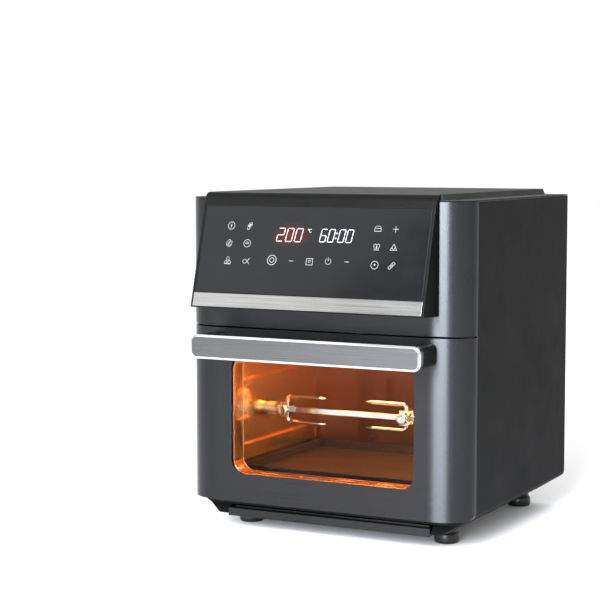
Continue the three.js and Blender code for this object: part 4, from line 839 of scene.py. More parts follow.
@dataclass
class OuterBody:
    """Upper housing, top cover, side panels, rear cover, base and feet."""

    shell_wall: float = 0.002
    sheet: float = 0.0008
    cover_sheet: float = 0.001
    edge: float = 0.0011
    plateau_slope: float = 0.0025
    plateau_half: float = 0.131
    opening_half: float = 0.118
    opening_low: float = 0.2502
    opening_high: float = 0.340
    screw_radius: float = 0.0032
    screw_reach: float = 0.150
    screw_heights: tuple[float, ...] = (0.050, 0.140, 0.230, 0.338)
    screw_pairs: tuple[tuple[float, float], ...] = ((0.06, 0.338), (0.09, 0.0235))

    def housing(self) -> None:
        """Upper front housing: the plan outline carried up, hollow from below."""
        low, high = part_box("upper_housing")
        piece = Maker.raw("upper_front", prism(FORM.plan(0.0, FORM.housing_depth), low[2], high[2], Axis.Z))
        inside = prism(FORM.plan(self.shell_wall, FORM.housing_depth + 0.001), low[2] + self.shell_wall,
                       high[2] + 0.002, Axis.Z)
        opening = block((-self.opening_half, FORM.depth(-0.001), self.opening_low),
                        (self.opening_half, FORM.depth(0.003), self.opening_high))
        Maker.carve(piece, inside, opening)
        Maker.soften(piece, self.edge)
        Maker.give(piece, "housing", "front_steel", [FINISHES.front_steel], ("upper_housing",))

    def cover(self) -> None:
        """Top cover: thin plate on the body's outline with a raised, flat middle."""
        low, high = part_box("top_cover")
        shoulder = low[2] + self.cover_sheet
        plate = prism(FORM.plan(0.0, FORM.rear - FORM.face), low[2], shoulder, Axis.Z)
        foot, top = self.plateau_half + self.plateau_slope, self.plateau_half
        rise = np.array([(-foot, low[2] + 0.0003), (foot, low[2] + 0.0003), (foot, shoulder),
                         (top, high[2]), (-top, high[2]), (-foot, shoulder)])
        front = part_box("panel_housing")[1][1] + 0.0003
        middle = prism(rise, front, high[1] - 0.0005, Axis.Y)
        piece = Maker.raw("cover_top", plate.joined(middle))
        Maker.soften(piece, 0.0009, 4, 20.0)
        Maker.give(piece, "housing", "cover_paint", [FINISHES.cover_paint], ("top_cover",))

    def sides(self) -> None:
        """Side panels: one bent sheet each, its section carried from the seam to the rear."""
        for name, sign in (("left", -1.0), ("right", 1.0)):
            low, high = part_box(f"side_panel_{name}")
            outer = FORM.flank(0.0, low[2], high[2])
            inner = FORM.flank(self.sheet, low[2], high[2])[::-1]
            outline = np.vstack([outer, inner]) * np.array([sign, 1.0])
            piece = Maker.raw(f"flank_{name}", prism(outline, low[1], high[1], Axis.Y))
            # The rounded edges take a lighter copy of the side paint: a painted highlight.
            Maker.soften(piece, 0.00036, 2, edge_finish=1)
            Maker.give(piece, "housing", "black_steel", [FINISHES.side_paint, FINISHES.edge_highlight_paint],
                       (f"side_panel_{name}",))

    def feet(self) -> None:
        """Feet: turned rubber with a neck, a bulged pad and a rounded tread."""
        profile = np.array([(9.6, 0.0), (11.2, 0.0), (12.0, 0.3), (12.6, 1.2), (12.95, 3.0), (13.0, 6.0),
                            (12.8, 9.0), (12.2, 10.6), (11.3, 11.4), (10.9, 12.2), (10.9, 14.2),
                            (11.8, 15.0), (12.0, 16.2)]) * MM
        for name in ("front_left", "front_right", "rear_left", "rear_right"):
            low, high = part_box(f"foot_{name}")
            centre = ((low[0] + high[0]) / 2.0, (low[1] + high[1]) / 2.0, 0.0)
            piece = Maker.raw(f"pad_{name}", lathe(profile, centre, Axis.Z))
            Maker.crisp(piece, 50.0)
            Maker.give(piece, "housing", "feet_rubber", [FINISHES.feet_rubber], (f"foot_{name}",))

    def base(self) -> None:
        """Skirt: slanted outline arched over the crumb tray, with toes beside the tray's bar."""
        low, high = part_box("base_skirt")
        pin_low, pin_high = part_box("hinge_pin_right")
        axis_y, axis_z = (pin_low[1] + pin_high[1]) / 2.0, (pin_low[2] + pin_high[2]) / 2.0
        door_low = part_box("door_shell")[0][2]
        swing = math.hypot(axis_y - FORM.face, axis_z - door_low) + 0.0005
        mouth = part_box("tray_bar")[1][0] + 0.0006
        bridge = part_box("crumb_tray")[1][2] + 0.0015
        inset, top = 0.0006, door_low - 0.0005
        foot, shoulder = (FORM.foot_half(inset, z) for z in (low[2], top))
        bridge_half = FORM.foot_half(inset, bridge)
        parts = [prism(np.array([(-bridge_half, bridge), (bridge_half, bridge), (shoulder, top),
                                 (-shoulder, top)]), axis_y + swing, high[1], Axis.Y)]
        lap = 0.0003
        for side in (-1.0, 1.0):
            front, back = axis_y + swing + lap, high[1] - lap
            rings = [[(mouth, low[1], low[2]), (foot, low[1], low[2]), (foot, back, low[2]),
                      (mouth, back, low[2])],
                     [(mouth, front, bridge + lap), (bridge_half, front, bridge + lap),
                      (bridge_half, back, bridge + lap), (mouth, back, bridge + lap)]]
            parts.append(stack(np.array(rings) * np.array([side, 1.0, 1.0])))
        piece = Maker.raw("front_skirt", parts[0].joined(*parts[1:]))
        merge_and_face_out(piece)
        Maker.soften(piece, 0.0005, 2)
        Maker.give(piece, "housing", "black_plastic", [FINISHES.black_plastic], ("base_skirt",))
        Maker.dress(FINISHES.side_paint, "base_plate", "rear_cover")

    def screws(self) -> None:
        """Cross-head screws along the rear cover's four edges."""
        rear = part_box("rear_cover")[1][1]
        places = [(side * self.screw_reach, z) for side in (-1, 1) for z in self.screw_heights]
        places += [(side * x, z) for x, z in self.screw_pairs for side in (-1, 1)]
        heads = [screw_head((x, rear, z), self.screw_radius) for x, z in places]
        piece = Maker.raw("rear_screws", heads[0].joined(*heads[1:]))
        Maker.crisp(piece, 40.0)
        # The second finish, black plastic, colours the recess bars: painted shade.
        Maker.give(piece, "housing", "motor_steel", [FINISHES.bar_steel, FINISHES.black_plastic])

    def build(self) -> None:
        """Makes every piece of the outer body."""
        self.housing()
        self.cover()
        self.sides()
        self.feet()
        self.base()
        self.screws()


def screw_head(centre: tuple, radius: float) -> Surface:
    """Pan head on a face towards +Y, with two dark bars whose dark colour paints the shade of its cross
    recess.

    Args:
        centre: Middle of the head's seat.
        radius: Of the head.

    Returns:
        The head.
    """
    profile = np.array([(1.0, -0.0002), (1.0, 0.0004), (0.94, 0.0009), (0.8, 0.0013), (0.5, 0.0016)])
    profile[:, 0] *= radius
    head = lathe(profile, centre, Axis.Y, 20)
    x, y, z = centre
    length, width = radius * 0.55, radius * 0.13
    bars = [block((x - length, y, z - width), (x + length, y + 0.00163, z + width)),
            block((x - width, y, z - length), (x + width, y + 0.00164, z + length))]
    # The bars take the second, dark finish: painted shade where the recess would be.
    for bar in bars:
        bar.finish = [1] * len(bar.faces)
    return head.joined(*bars)


@dataclass
class ControlPanel:
    """Slanted touch panel: black housing, glass, strip, symbols and digits."""

    reach: float = 0.0388
    lift: float = 0.2402
    undercut: float = 0.002
    top_radius: float = 0.009
    top_setback: float = 0.00168
    half: float = 0.130
    glass_half: float = 0.127
    strip_half: float = 0.128
    glass_start: float = 0.0164
    strip_start: float = 0.0015
    strip_end: float = 0.0157
    wall: float = 0.004
    shoulder: float = 0.3523
    digit_height: float = 0.0135
    slant: float = 0.16
    bar_half: float = 0.00036
    bar_gap: float = 0.00022
    colon_radius: float = 0.0008
    lit_height: float = 0.00008
    print_height: float = 0.00006
    symbol_half: float = 0.0041
    clock_half: float = 0.0050

    def __post_init__(self) -> None:
        """Works out the face's tilt and length from its lip to the rounded top edge."""
        self.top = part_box("panel_housing")[1][2]
        self.arc_z = self.top - self.top_radius
        run, rise = self.top_setback + self.reach, self.arc_z - self.lift
        span = math.hypot(run, rise)
        self.tilt = math.atan2(run, rise) - math.asin(self.top_radius / span)
        self.length = math.sqrt(span ** 2 - self.top_radius ** 2)
        self.glass_end = self.length - 0.0074

    def on_face(self, points: np.ndarray, height: float) -> np.ndarray:
        """Places flat points on the slanted face.

        x stays; y is the lip plus v times the tilt's sine, less height times its cosine;
        z is the lip plus v times the cosine, plus height times the sine.

        Args:
            points: Shape (n, 2): across, and up the face from its lip.
            height: Above the face.

        Returns:
            Points of shape (n, 3).
        """
        sine, cosine = math.sin(self.tilt), math.cos(self.tilt)
        y = FORM.depth(-self.reach) + points[:, 1] * sine - height * cosine
        z = self.lift + points[:, 1] * cosine + height * sine
        return np.stack([points[:, 0], y, z], axis=1)

    def slab(self, half: float, start: float, end: float, low: float, high: float) -> Surface:
        """Plate lying on or in the face.

        Args:
            half: Half its width.
            start, end: Along the face from the lip.
            low, high: Heights above the face.

        Returns:
            The plate.
        """
        outline = np.array([(-half, start), (half, start), (half, end), (-half, end)])
        return stack(np.stack([self.on_face(outline, low), self.on_face(outline, high)]))

    def housing(self) -> None:
        """Housing: lip, slanted face, rounded top edge, carried across, with two pockets."""
        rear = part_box("panel_housing")[1][1]
        lip = 0.0012
        face_low = np.array([FORM.depth(-self.reach) + lip * math.sin(self.tilt), self.lift + lip])
        outline = np.vstack([
            [(FORM.depth(-0.0003), self.lift - self.undercut)],
            [(FORM.depth(-self.reach) + lip, self.lift - self.undercut * 0.04)], [face_low],
            arc(FORM.depth(self.top_setback), self.arc_z, self.top_radius, self.top_radius,
                180.0 - math.degrees(self.tilt), 90.0, 24),
            [(rear, self.top), (rear, self.shoulder), (FORM.depth(-0.0003), self.shoulder)],
        ])
        piece = Maker.raw("panel_shell", prism(outline, -self.half, self.half, Axis.X))
        gap = 0.0003
        Maker.carve(
            piece,
            self.slab(self.glass_half + gap, self.glass_start - gap, self.glass_end + gap, -0.0023, 0.001),
            self.slab(self.strip_half + gap, self.strip_start - gap, self.strip_end + gap, -0.0013, 0.001),
        )
        # The rounded edges take a lighter copy of the black plastic: a painted highlight.
        Maker.soften(piece, 0.001, 3, 20.0, 1)
        Maker.give(piece, "housing", "black_plastic", [FINISHES.black_plastic, FINISHES.edge_highlight_plastic],
                   ("panel_housing",))

    def glass(self) -> None:
        """Touch glass with a ground edge, glowing a little behind the temperature."""
        piece = Maker.raw("touch_pane", self.slab(self.glass_half, self.glass_start, self.glass_end,
                                                 -0.002, 0.0))
        Maker.soften(piece, 0.00035, 2)
        centre = self.on_face(np.array([(-0.0245, 0.0785)]), 0.0)[0]
        finish = DisplayGlass("touch_glass", (0.0028, 0.003, 0.0034), 0.1, tuple(centre))
        Maker.give(piece, "housing", "touch_glass", [finish], ("touch_glass",))

    def strip(self) -> None:
        """Brushed strip under the glass."""
        piece = Maker.raw("trim_strip", self.slab(self.strip_half, self.strip_start, self.strip_end,
                                                 -0.001, 0.0002))
        Maker.soften(piece, 0.0003, 2)
        Maker.give(piece, "housing", "steel_strip", [FINISHES.strip_steel], ("steel_strip",))

    def flat(self, shapes: list[np.ndarray], height: float) -> Surface:
        """Thin printed or lit shapes, each a closed outline raised a hair above the glass.

        Args:
            shapes: Outlines on the face.
            height: Of their upper side.

        Returns:
            All of them as one surface.
        """
        skins = []
        for shape in shapes:
            nxt = np.roll(shape, -1, axis=0)
            if np.sum(shape[:, 0] * nxt[:, 1] - nxt[:, 0] * shape[:, 1]) < 0:
                shape = shape[::-1]
            skins.append(stack(np.stack([self.on_face(shape, 0.00001), self.on_face(shape, height)])))
        return skins[0].joined(*skins[1:])

    def digits(self, text: str, left: float, base: float, width: float, height: float,
               pitch: float) -> list[np.ndarray]:
        """Seven-bar figures, leaning right.

        Args:
            text: Figures and colons.
            left: Left end on the face.
            base: Lower end on the face.
            width: Of a figure.
            height: Of a figure.
            pitch: From one figure to the next.

        Returns:
            Outlines of the lit bars.
        """
        lit = {"0": "abcdef", "2": "abged", "6": "acdefg"}
        middle = height / 2.0
        bars = {"a": ((0, height), (width, height)), "b": ((width, middle), (width, height)),
                "c": ((width, 0), (width, middle)), "d": ((0, 0), (width, 0)),
                "e": ((0, 0), (0, middle)), "f": ((0, middle), (0, height)),
                "g": ((0, middle), (width, middle))}
        thick = self.bar_half
        shapes, x = [], left
        for mark in text:
            if mark == ":":
                for level in (0.3, 0.7):
                    shapes.append(arc(x - pitch * 0.04, base + height * level, self.colon_radius,
                                      self.colon_radius, 0, 330, 11))
                x += pitch * 0.3
                continue
            for bar in lit[mark]:
                (x0, y0), (x1, y1) = bars[bar]
                start, end = np.array([x0, y0], float), np.array([x1, y1], float)
                way = (end - start) / np.linalg.norm(end - start)
                side = np.array([-way[1], way[0]]) * thick
                start, end = start + way * self.bar_gap, end - way * self.bar_gap
                shape = np.array([start, start + way * thick + side, end - way * thick + side, end,
                                  end - way * thick - side, start + way * thick - side])
                shapes.append(shape + np.array([x, base]))
            x += pitch
        return [s + np.stack([(s[:, 1] - base) * self.slant, np.zeros(len(s))], axis=1) for s in shapes]

    def readout(self) -> None:
        """Lit temperature, and lit time with the degree mark, which is as white."""
        warm = self.digits("200", left=-0.0405, base=0.0717, width=0.0070, height=self.digit_height,
                           pitch=0.0102)
        degree = [*stroke(arc(-0.0052, 0.0845, 0.0006, 0.0006, 0, 360, 12), 0.00018),
                  *stroke(arc(-0.0026, 0.0833, 0.0014, 0.0017, 50, 310, 12), 0.0002)]
        piece = Maker.raw("digits_heat", self.flat(warm, self.lit_height))
        Maker.give(piece, "housing", "touch_glass", [FINISHES.digit_red])
        time = self.digits("60:00", left=0.0082, base=0.0722, width=0.0062,
                           height=self.digit_height - 0.0006, pitch=0.0088)
        piece = Maker.raw("digits_time", self.flat(time + degree, self.lit_height))
        Maker.give(piece, "housing", "touch_glass", [FINISHES.digit_white])

    def symbols(self) -> None:
        """Touch symbols: three pairs at each side and a row of five."""
        rows = {"top": 0.0868, "middle": 0.0686, "low": 0.0503}
        marks = [
            (Symbol.BOLT, -0.0945, rows["top"]), (Symbol.LEAF, -0.0735, rows["top"]),
            (Symbol.SLICES, -0.0945, rows["middle"]), (Symbol.DOME, -0.0735, rows["middle"]),
            (Symbol.CUPS, -0.0935, rows["low"]), (Symbol.KNOT, -0.0722, rows["low"]),
            (Symbol.CLOCK, -0.0425, 0.0520), (Symbol.MINUS, -0.0205, 0.0517),
            (Symbol.OVEN, 0.0002, 0.0515), (Symbol.POWER, 0.0210, 0.0525), (Symbol.MINUS, 0.0418, 0.0525),
            (Symbol.BUN, 0.0713, rows["top"]), (Symbol.PLUS, 0.0905, rows["top"]),
            (Symbol.HEART, 0.0720, rows["middle"]), (Symbol.PEAKS, 0.0905, rows["middle"]),
            (Symbol.RING, 0.0722, rows["low"]), (Symbol.BAR, 0.0905, rows["low"]),
        ]
        shapes = []
        for symbol, x, v in marks:
            scale = self.clock_half if symbol is Symbol.CLOCK else self.symbol_half
            for shape in symbol_shapes(symbol):
                shapes.append(shape * scale + np.array([x, v]))
        # The printed symbols glow a little of their own: painted light on real print.
        piece = Maker.raw("touch_symbols", self.flat(shapes, self.print_height))
        Maker.give(piece, "housing", "touch_glass", [FINISHES.symbol_print_glow])

    def build(self) -> None:
        """Makes the panel and dresses the parts behind it."""
        self.housing()
        self.glass()
        self.strip()
        self.readout()
        self.symbols()
        Maker.dress(FINISHES.board_mask, "display_board", "power_board")
        Maker.dress(FINISHES.black_plastic, "led_display")


class Symbol(Enum):
    """Marks on the touch glass."""

    BOLT = auto()
    LEAF = auto()
    SLICES = auto()
    DOME = auto()
    CUPS = auto()
    KNOT = auto()
    CLOCK = auto()
    MINUS = auto()
    OVEN = auto()
    POWER = auto()
    BUN = auto()
    PLUS = auto()
    HEART = auto()
    PEAKS = auto()
    RING = auto()
    BAR = auto()


def stroke(path: np.ndarray, half: float) -> list[np.ndarray]:
    """Line of constant width along a path, as one quad outline a step.

    Args:
        path: Points of shape (n, 2).
        half: Half the width.

    Returns:
        The quads.
    """
    way = path[1:] - path[:-1]
    way /= np.linalg.norm(way, axis=1, keepdims=True)
    side = np.stack([-way[:, 1], way[:, 0]], axis=1) * half
    reach = way * half * 0.4
    start, end = path[:-1] - reach, path[1:] + reach
    return list(np.stack([start + side, start - side, end - side, end + side], axis=1))


def symbol_shapes(symbol: Symbol) -> list[np.ndarray]:
    """Outlines of a mark about its middle, one unit being its half size.

    Args:
        symbol: The mark.

    Returns:
        Closed outlines.
    """
    line = 0.05

    def ring(radius: float, start: float = 0.0, end: float = 360.0, cx: float = 0.0,
             cy: float = 0.0, ry: float = 0.0) -> list[np.ndarray]:
        """Drawn arc."""
        return stroke(arc(cx, cy, radius, ry or radius, start, end, 20), line)

    def lines(*points: tuple[float, float]) -> list[np.ndarray]:
        """Drawn line through points."""
        return stroke(np.array(points, float), line)

    def blob(cx: float, cy: float, rx: float, ry: float, turn: float) -> list[np.ndarray]:
        """Filled ellipse turned by an angle in degrees."""
        shape = arc(0.0, 0.0, rx, ry, 0, 345, 23)
        a = math.radians(turn)
        spin = np.array([[math.cos(a), math.sin(a)], [-math.sin(a), math.cos(a)]])
        return [shape @ spin + np.array([cx, cy])]

    def loop(cx: float, cy: float, rx: float, ry: float, turn: float) -> list[np.ndarray]:
        """Drawn ellipse turned by an angle in degrees."""
        shape = blob(cx, cy, rx, ry, turn)[0]
        return stroke(np.vstack([shape, shape[:1]]), line)

    shapes = {
        Symbol.BOLT: ring(0.95) + lines((0.15, 0.5), (-0.2, 0.0), (0.15, 0.0), (-0.12, -0.5)),
        Symbol.LEAF: loop(0.25, 0.3, 0.65, 0.42, 40) + blob(0.3, 0.3, 0.35, 0.16, 40)
        + loop(-0.1, -0.45, 0.3, 0.52, -20) + lines((-0.45, 0.2), (0.1, -0.1)),
        Symbol.SLICES: loop(-0.25, 0.2, 0.75, 0.34, 55) + loop(0.3, -0.1, 0.7, 0.32, 55)
        + blob(0.0, 0.05, 0.4, 0.12, 55) + ring(0.9, 200, 330),
        Symbol.DOME: ring(0.95) + ring(0.4, 0, 180, 0.0, -0.05) + lines((-0.5, -0.08), (0.5, -0.08)),
        Symbol.CUPS: ring(0.42, 0, 360, 0.0, 0.45) + ring(0.38, 0, 360, -0.5, -0.45)
        + ring(0.38, 0, 360, 0.5, -0.45) + lines((-0.9, -0.9), (0.9, -0.9)),
        Symbol.KNOT: ring(0.5, 40, 330, -0.35, -0.1) + lines((-0.05, 0.3), (0.95, -0.75))
        + lines((0.0, -0.55), (0.95, 0.75)),
        Symbol.CLOCK: ring(1.0) + ring(0.48),
        Symbol.MINUS: lines((-0.6, 0.0), (0.6, 0.0)),
        Symbol.OVEN: lines((-0.85, -0.8), (0.85, -0.8), (0.85, 0.8), (-0.85, 0.8), (-0.85, -0.8))
        + lines((-0.4, 0.35), (0.4, 0.35)) + ring(0.3, 180, 360, 0.0, 0.1),
        Symbol.POWER: ring(0.75, 125, 415) + lines((0.0, 0.1), (0.0, 0.95)),
        Symbol.BUN: ring(0.85, 0, 180, 0.0, 0.1, 0.6) + lines((-0.85, 0.1), (-0.85, -0.6), (0.85, -0.6),
                                                              (0.85, 0.1)) + lines((-0.85, 0.1), (0.85, 0.1)),
        Symbol.PLUS: lines((-0.75, 0.0), (0.75, 0.0)) + lines((0.0, -0.75), (0.0, 0.75)),
        Symbol.HEART: loop(-0.32, 0.1, 0.42, 0.62, 20) + loop(0.32, 0.1, 0.42, 0.62, -20)
        + blob(0.0, 0.0, 0.16, 0.5, 0) + lines((-0.7, -0.75), (0.7, -0.75)),
        Symbol.PEAKS: lines((-0.9, -0.75), (-0.45, 0.05), (0.0, -0.75), (-0.9, -0.75))
        + lines((0.0, -0.75), (0.45, 0.05), (0.9, -0.75), (0.0, -0.75))
        + lines((-0.4, 0.1), (0.0, 0.85), (0.4, 0.1)),
        Symbol.RING: ring(0.95) + blob(0.0, 0.1, 0.2, 0.2, 0),
        Symbol.BAR: lines((-0.9, -0.55), (-0.45, -0.95), (0.9, 0.45), (0.45, 0.9), (-0.9, -0.55))
        + lines((-0.3, -0.35), (0.35, 0.3)),
    }
    return shapes[symbol]


@dataclass
class Door:
    """Door shell with its window, inner frame, panes, seal, handle and hinges."""

    wall: float = 0.002
    edge: float = 0.0011
    window_half: float = 0.104
    window_low: float = 0.063
    window_high: float = 0.187
    window_radius: float = 0.014
    jamb_wall: float = 0.0015
    handle_radius: float = 0.0082
    handle_band: float = 0.0021
    handle_rear_edge: float = 0.0006
    slot_half: float = 0.009
    slot_places: tuple[float, ...] = (-0.066, -0.022, 0.022, 0.066)
    bracket_radius: float = 0.0062

    def window(self, grow: float) -> np.ndarray:
        """Outline of the window, larger by a margin."""
        return rounded(-self.window_half - grow, self.window_half + grow, self.window_low - grow,
                       self.window_high + grow, self.window_radius + grow)

    def notch(self, side: float, low: float) -> Surface:
        """Clearance round a fixed hinge tongue."""
        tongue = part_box("hinge_tongue_right" if side > 0 else "hinge_tongue_left")
        margin = 0.001
        return block((tongue[0][0] - margin, tongue[0][1] - margin, low),
                     (tongue[1][0] + margin, FORM.depth(FORM.door_depth + 0.001), tongue[1][2] + margin))

    def shell(self) -> None:
        """Shell: plan outline carried up, kept within the front outline, hollow, with a window."""
        low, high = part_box("door_shell")
        depth = FORM.door_depth
        piece = Maker.raw("door_front", prism(FORM.plan(0.0, depth), low[2], high[2], Axis.Z))
        Maker.carve(piece, prism(FORM.section(0.0, low[2] - 0.0001, high[2] + 0.0001), FORM.depth(-0.01),
                                 FORM.depth(depth + 0.01), Axis.Y), keep=True)
        hollow = Maker.raw("hollow", prism(FORM.plan(self.wall, depth + 0.001), low[2], high[2], Axis.Z))
        Maker.carve(hollow, prism(FORM.section(self.wall, low[2] + self.wall, high[2] - self.wall),
                                  FORM.depth(-0.01), FORM.depth(depth + 0.01), Axis.Y), keep=True)
        points = np.empty(len(hollow.data.vertices) * 3)
        hollow.data.vertices.foreach_get("co", points)
        inside = Surface(points.reshape(-1, 3), [tuple(p.vertices) for p in hollow.data.polygons])
        bpy.data.objects.remove(hollow)
        opening = prism(self.window(0.0), FORM.depth(-0.005), FORM.depth(0.006), Axis.Y)
        Maker.carve(piece, inside, opening, self.notch(-1.0, low[2] - 0.001), self.notch(1.0, low[2] - 0.001))
        Maker.soften(piece, self.edge)
        Maker.give(piece, "door", "front_steel", [FINISHES.front_steel], ("door_shell",))

    def lugs(self) -> None:
        """Hinge lugs either side of each fixed tongue."""
        parts = []
        for name in ("left", "right"):
            pin_low, pin_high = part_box(f"hinge_pin_{name}")
            tongue_low, tongue_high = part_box(f"hinge_tongue_{name}")
            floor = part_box("door_shell")[0][2] + 0.0015
            y0, y1 = pin_low[1] - 0.0015, pin_high[1] + 0.0015
            top = pin_high[2] + 0.002
            parts += [block((pin_low[0] - 0.0002, y0, floor), (tongue_low[0] - 0.001, y1, top)),
                      block((tongue_high[0] + 0.001, y0, floor), (pin_high[0] + 0.0002, y1, top))]
        piece = Maker.raw("hinge_lugs", parts[0].joined(*parts[1:]))
        Maker.soften(piece, 0.0005, 2)
        Maker.give(piece, "door", "frame_steel", [FINISHES.frame_steel])

    def inner_frame(self) -> None:
        """Inner sheet with the window, the jamb that lines it, and slots in the lower reveal."""
        low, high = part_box("door_inner_frame")
        gap = self.wall + 0.0003
        outer = FORM.section(gap, low[2], high[2])
        start = FORM.depth(FORM.door_depth - 0.002)
        end = start + 0.0012
        sheet = Maker.raw("door_liner", prism(outer, start, end, Axis.Y))
        Maker.carve(sheet, prism(FORM.plan(gap, FORM.door_depth), low[2] - 0.001, high[2] + 0.001, Axis.Z),
                    keep=True)
        Maker.carve(sheet, prism(self.window(0.0), start - 0.005, end + 0.005, Axis.Y),
                    self.notch(-1.0, low[2] - 0.001), self.notch(1.0, low[2] - 0.001))
        Maker.crisp(sheet)
        Maker.give(sheet, "door", "frame_steel", [FINISHES.frame_steel], ("door_inner_frame",))
        loops = np.zeros((4, len(self.window(0.0)), 3))
        front = low[1]
        for row, (grow, y) in enumerate([(self.jamb_wall, front), (self.jamb_wall, start), (0.0, start),
                                         (0.0, front)]):
            outline = self.window(grow)
            loops[row, :, 0], loops[row, :, 1], loops[row, :, 2] = outline[:, 0], y, outline[:, 1]
        ring = stack(np.vstack([loops, loops[:1]])[::-1], capped=False)
        jamb = Maker.raw("window_jamb", ring)
        merge_and_face_out(jamb)
        slots = [block((x - self.slot_half, front + 0.005, self.window_low - 0.003),
                       (x + self.slot_half, front + 0.010, self.window_low + 0.001))
                 for x in self.slot_places]
        Maker.carve(jamb, *slots)
        Maker.soften(jamb, 0.0004, 2)
        # The jamb's gold is painted warm light from the cavity.
        Maker.give(jamb, "door", "frame_steel", [FINISHES.jamb_steel])

    def handle(self) -> None:
        """Bar: rounded outline set back in steps, so a polished band frames the brushed face.

        Each step is (inset of the outline, its Y), from the back to the front.
        """
        low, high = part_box("handle_bar")
        band, rear_edge = self.handle_band, self.handle_rear_edge
        steps = [(rear_edge, high[1]), (0.0, high[1] - rear_edge), (0.0, low[1] + band * 0.8),
                 (band * 0.06, low[1] + band * 0.62), (band * 0.92, low[1] + band * 0.09),
                 (band, low[1] + band * 0.04), (band * 1.1, low[1])]
        loops = []
        for inset, y in steps:
            outline = rounded(low[0] + inset, high[0] - inset, low[2] + inset, high[2] - inset,
                              self.handle_radius - inset)
            loops.append(np.stack([outline[:, 0], np.full(len(outline), y), outline[:, 1]], axis=1))
        bar = stack(np.array(loops), [1] * (len(steps) - 1) + [0, 0])
        piece = Maker.raw("handle_grip", bar)
        Maker.crisp(piece, 14.0)
        Maker.give(piece, "door", "handle_aluminium", [FINISHES.handle_face, FINISHES.handle_bevel],
                   ("handle_bar",))

    def brackets(self) -> None:
        """Handle posts: rounded outline carried from the bar to the door."""
        for name in ("left", "right"):
            low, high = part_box(f"handle_bracket_{name}")
            outline = rounded(low[0], high[0], low[2], high[2], self.bracket_radius)
            piece = Maker.raw(f"post_{name}", prism(outline, low[1], high[1], Axis.Y))
            Maker.soften(piece, 0.0006, 3, 40.0)
            Maker.give(piece, "door", "black_plastic", [FINISHES.bracket_plastic],
                       (f"handle_bracket_{name}",))

    def build(self) -> None:
        """Makes the door's pieces and dresses the rest."""
        self.shell()
        self.lugs()
        self.inner_frame()
        self.handle()
        self.brackets()
        Maker.dress(FINISHES.pane, "outer_glass", "inner_glass")
        Maker.dress(FINISHES.seal_rubber, "door_seal")
        Maker.dress(FINISHES.bright_steel, "hinge_pin_left", "hinge_pin_right")
        Maker.dress(FINISHES.frame_steel, "hinge_tongue_left", "hinge_tongue_right", "cavity_front_frame")


@dataclass
class Cavity:
    """Steel cavity, its warm colour painted light from the heater, with its trays, heater, fan, lamp and
    probe.
    """

    def trays(self) -> None:
        """Drip pan, crumb tray and its brushed front bar."""
        Maker.dress(FINISHES.tray_coating, "drip_tray")
        Maker.dress(FINISHES.crumb_steel, "crumb_tray")
        low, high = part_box("tray_bar")
        bar = block(tuple(low), tuple(high))
        bar.finish = [0, 0, 1, 0, 1, 1]
        piece = Maker.raw("tray_front", bar)
        Maker.soften(piece, 0.0004, 2, edge_finish=1)
        Maker.give(piece, "tray", "front_steel", [FINISHES.bar_steel, FINISHES.black_plastic], ("tray_bar",))

    def build(self) -> None:
        """Dresses the cavity and what works on its air."""
        # Walls, ceiling and guard take gold painted warm light; back and floor take dark red-brown painted
        # shade under orange light.
        Maker.dress(FINISHES.cavity_steel, "cavity_left_wall", "cavity_right_wall", "cavity_ceiling",
                    "heater_guard")
        Maker.dress(FINISHES.back_steel, "cavity_back", "cavity_floor")
        self.trays()
        Maker.dress(FINISHES.heater_tube, "heater_coil")
        Maker.dress(FINISHES.frame_steel, "fan_duct", "heat_shield", "spit_bearing")
        Maker.dress(FINISHES.bright_steel, "fan_impeller", "fan_shaft")
        Maker.dress(FINISHES.black_plastic, "cooling_impeller", "door_switch", "switch_plunger")
        Maker.dress(FINISHES.motor_steel, "fan_motor", "rotisserie_motor", "temperature_probe")
        Maker.dress(FINISHES.lamp_glass, "lamp_lens", "lamp_bulb")
        Maker.dress(FINISHES.feet_rubber, "cord_inlet")


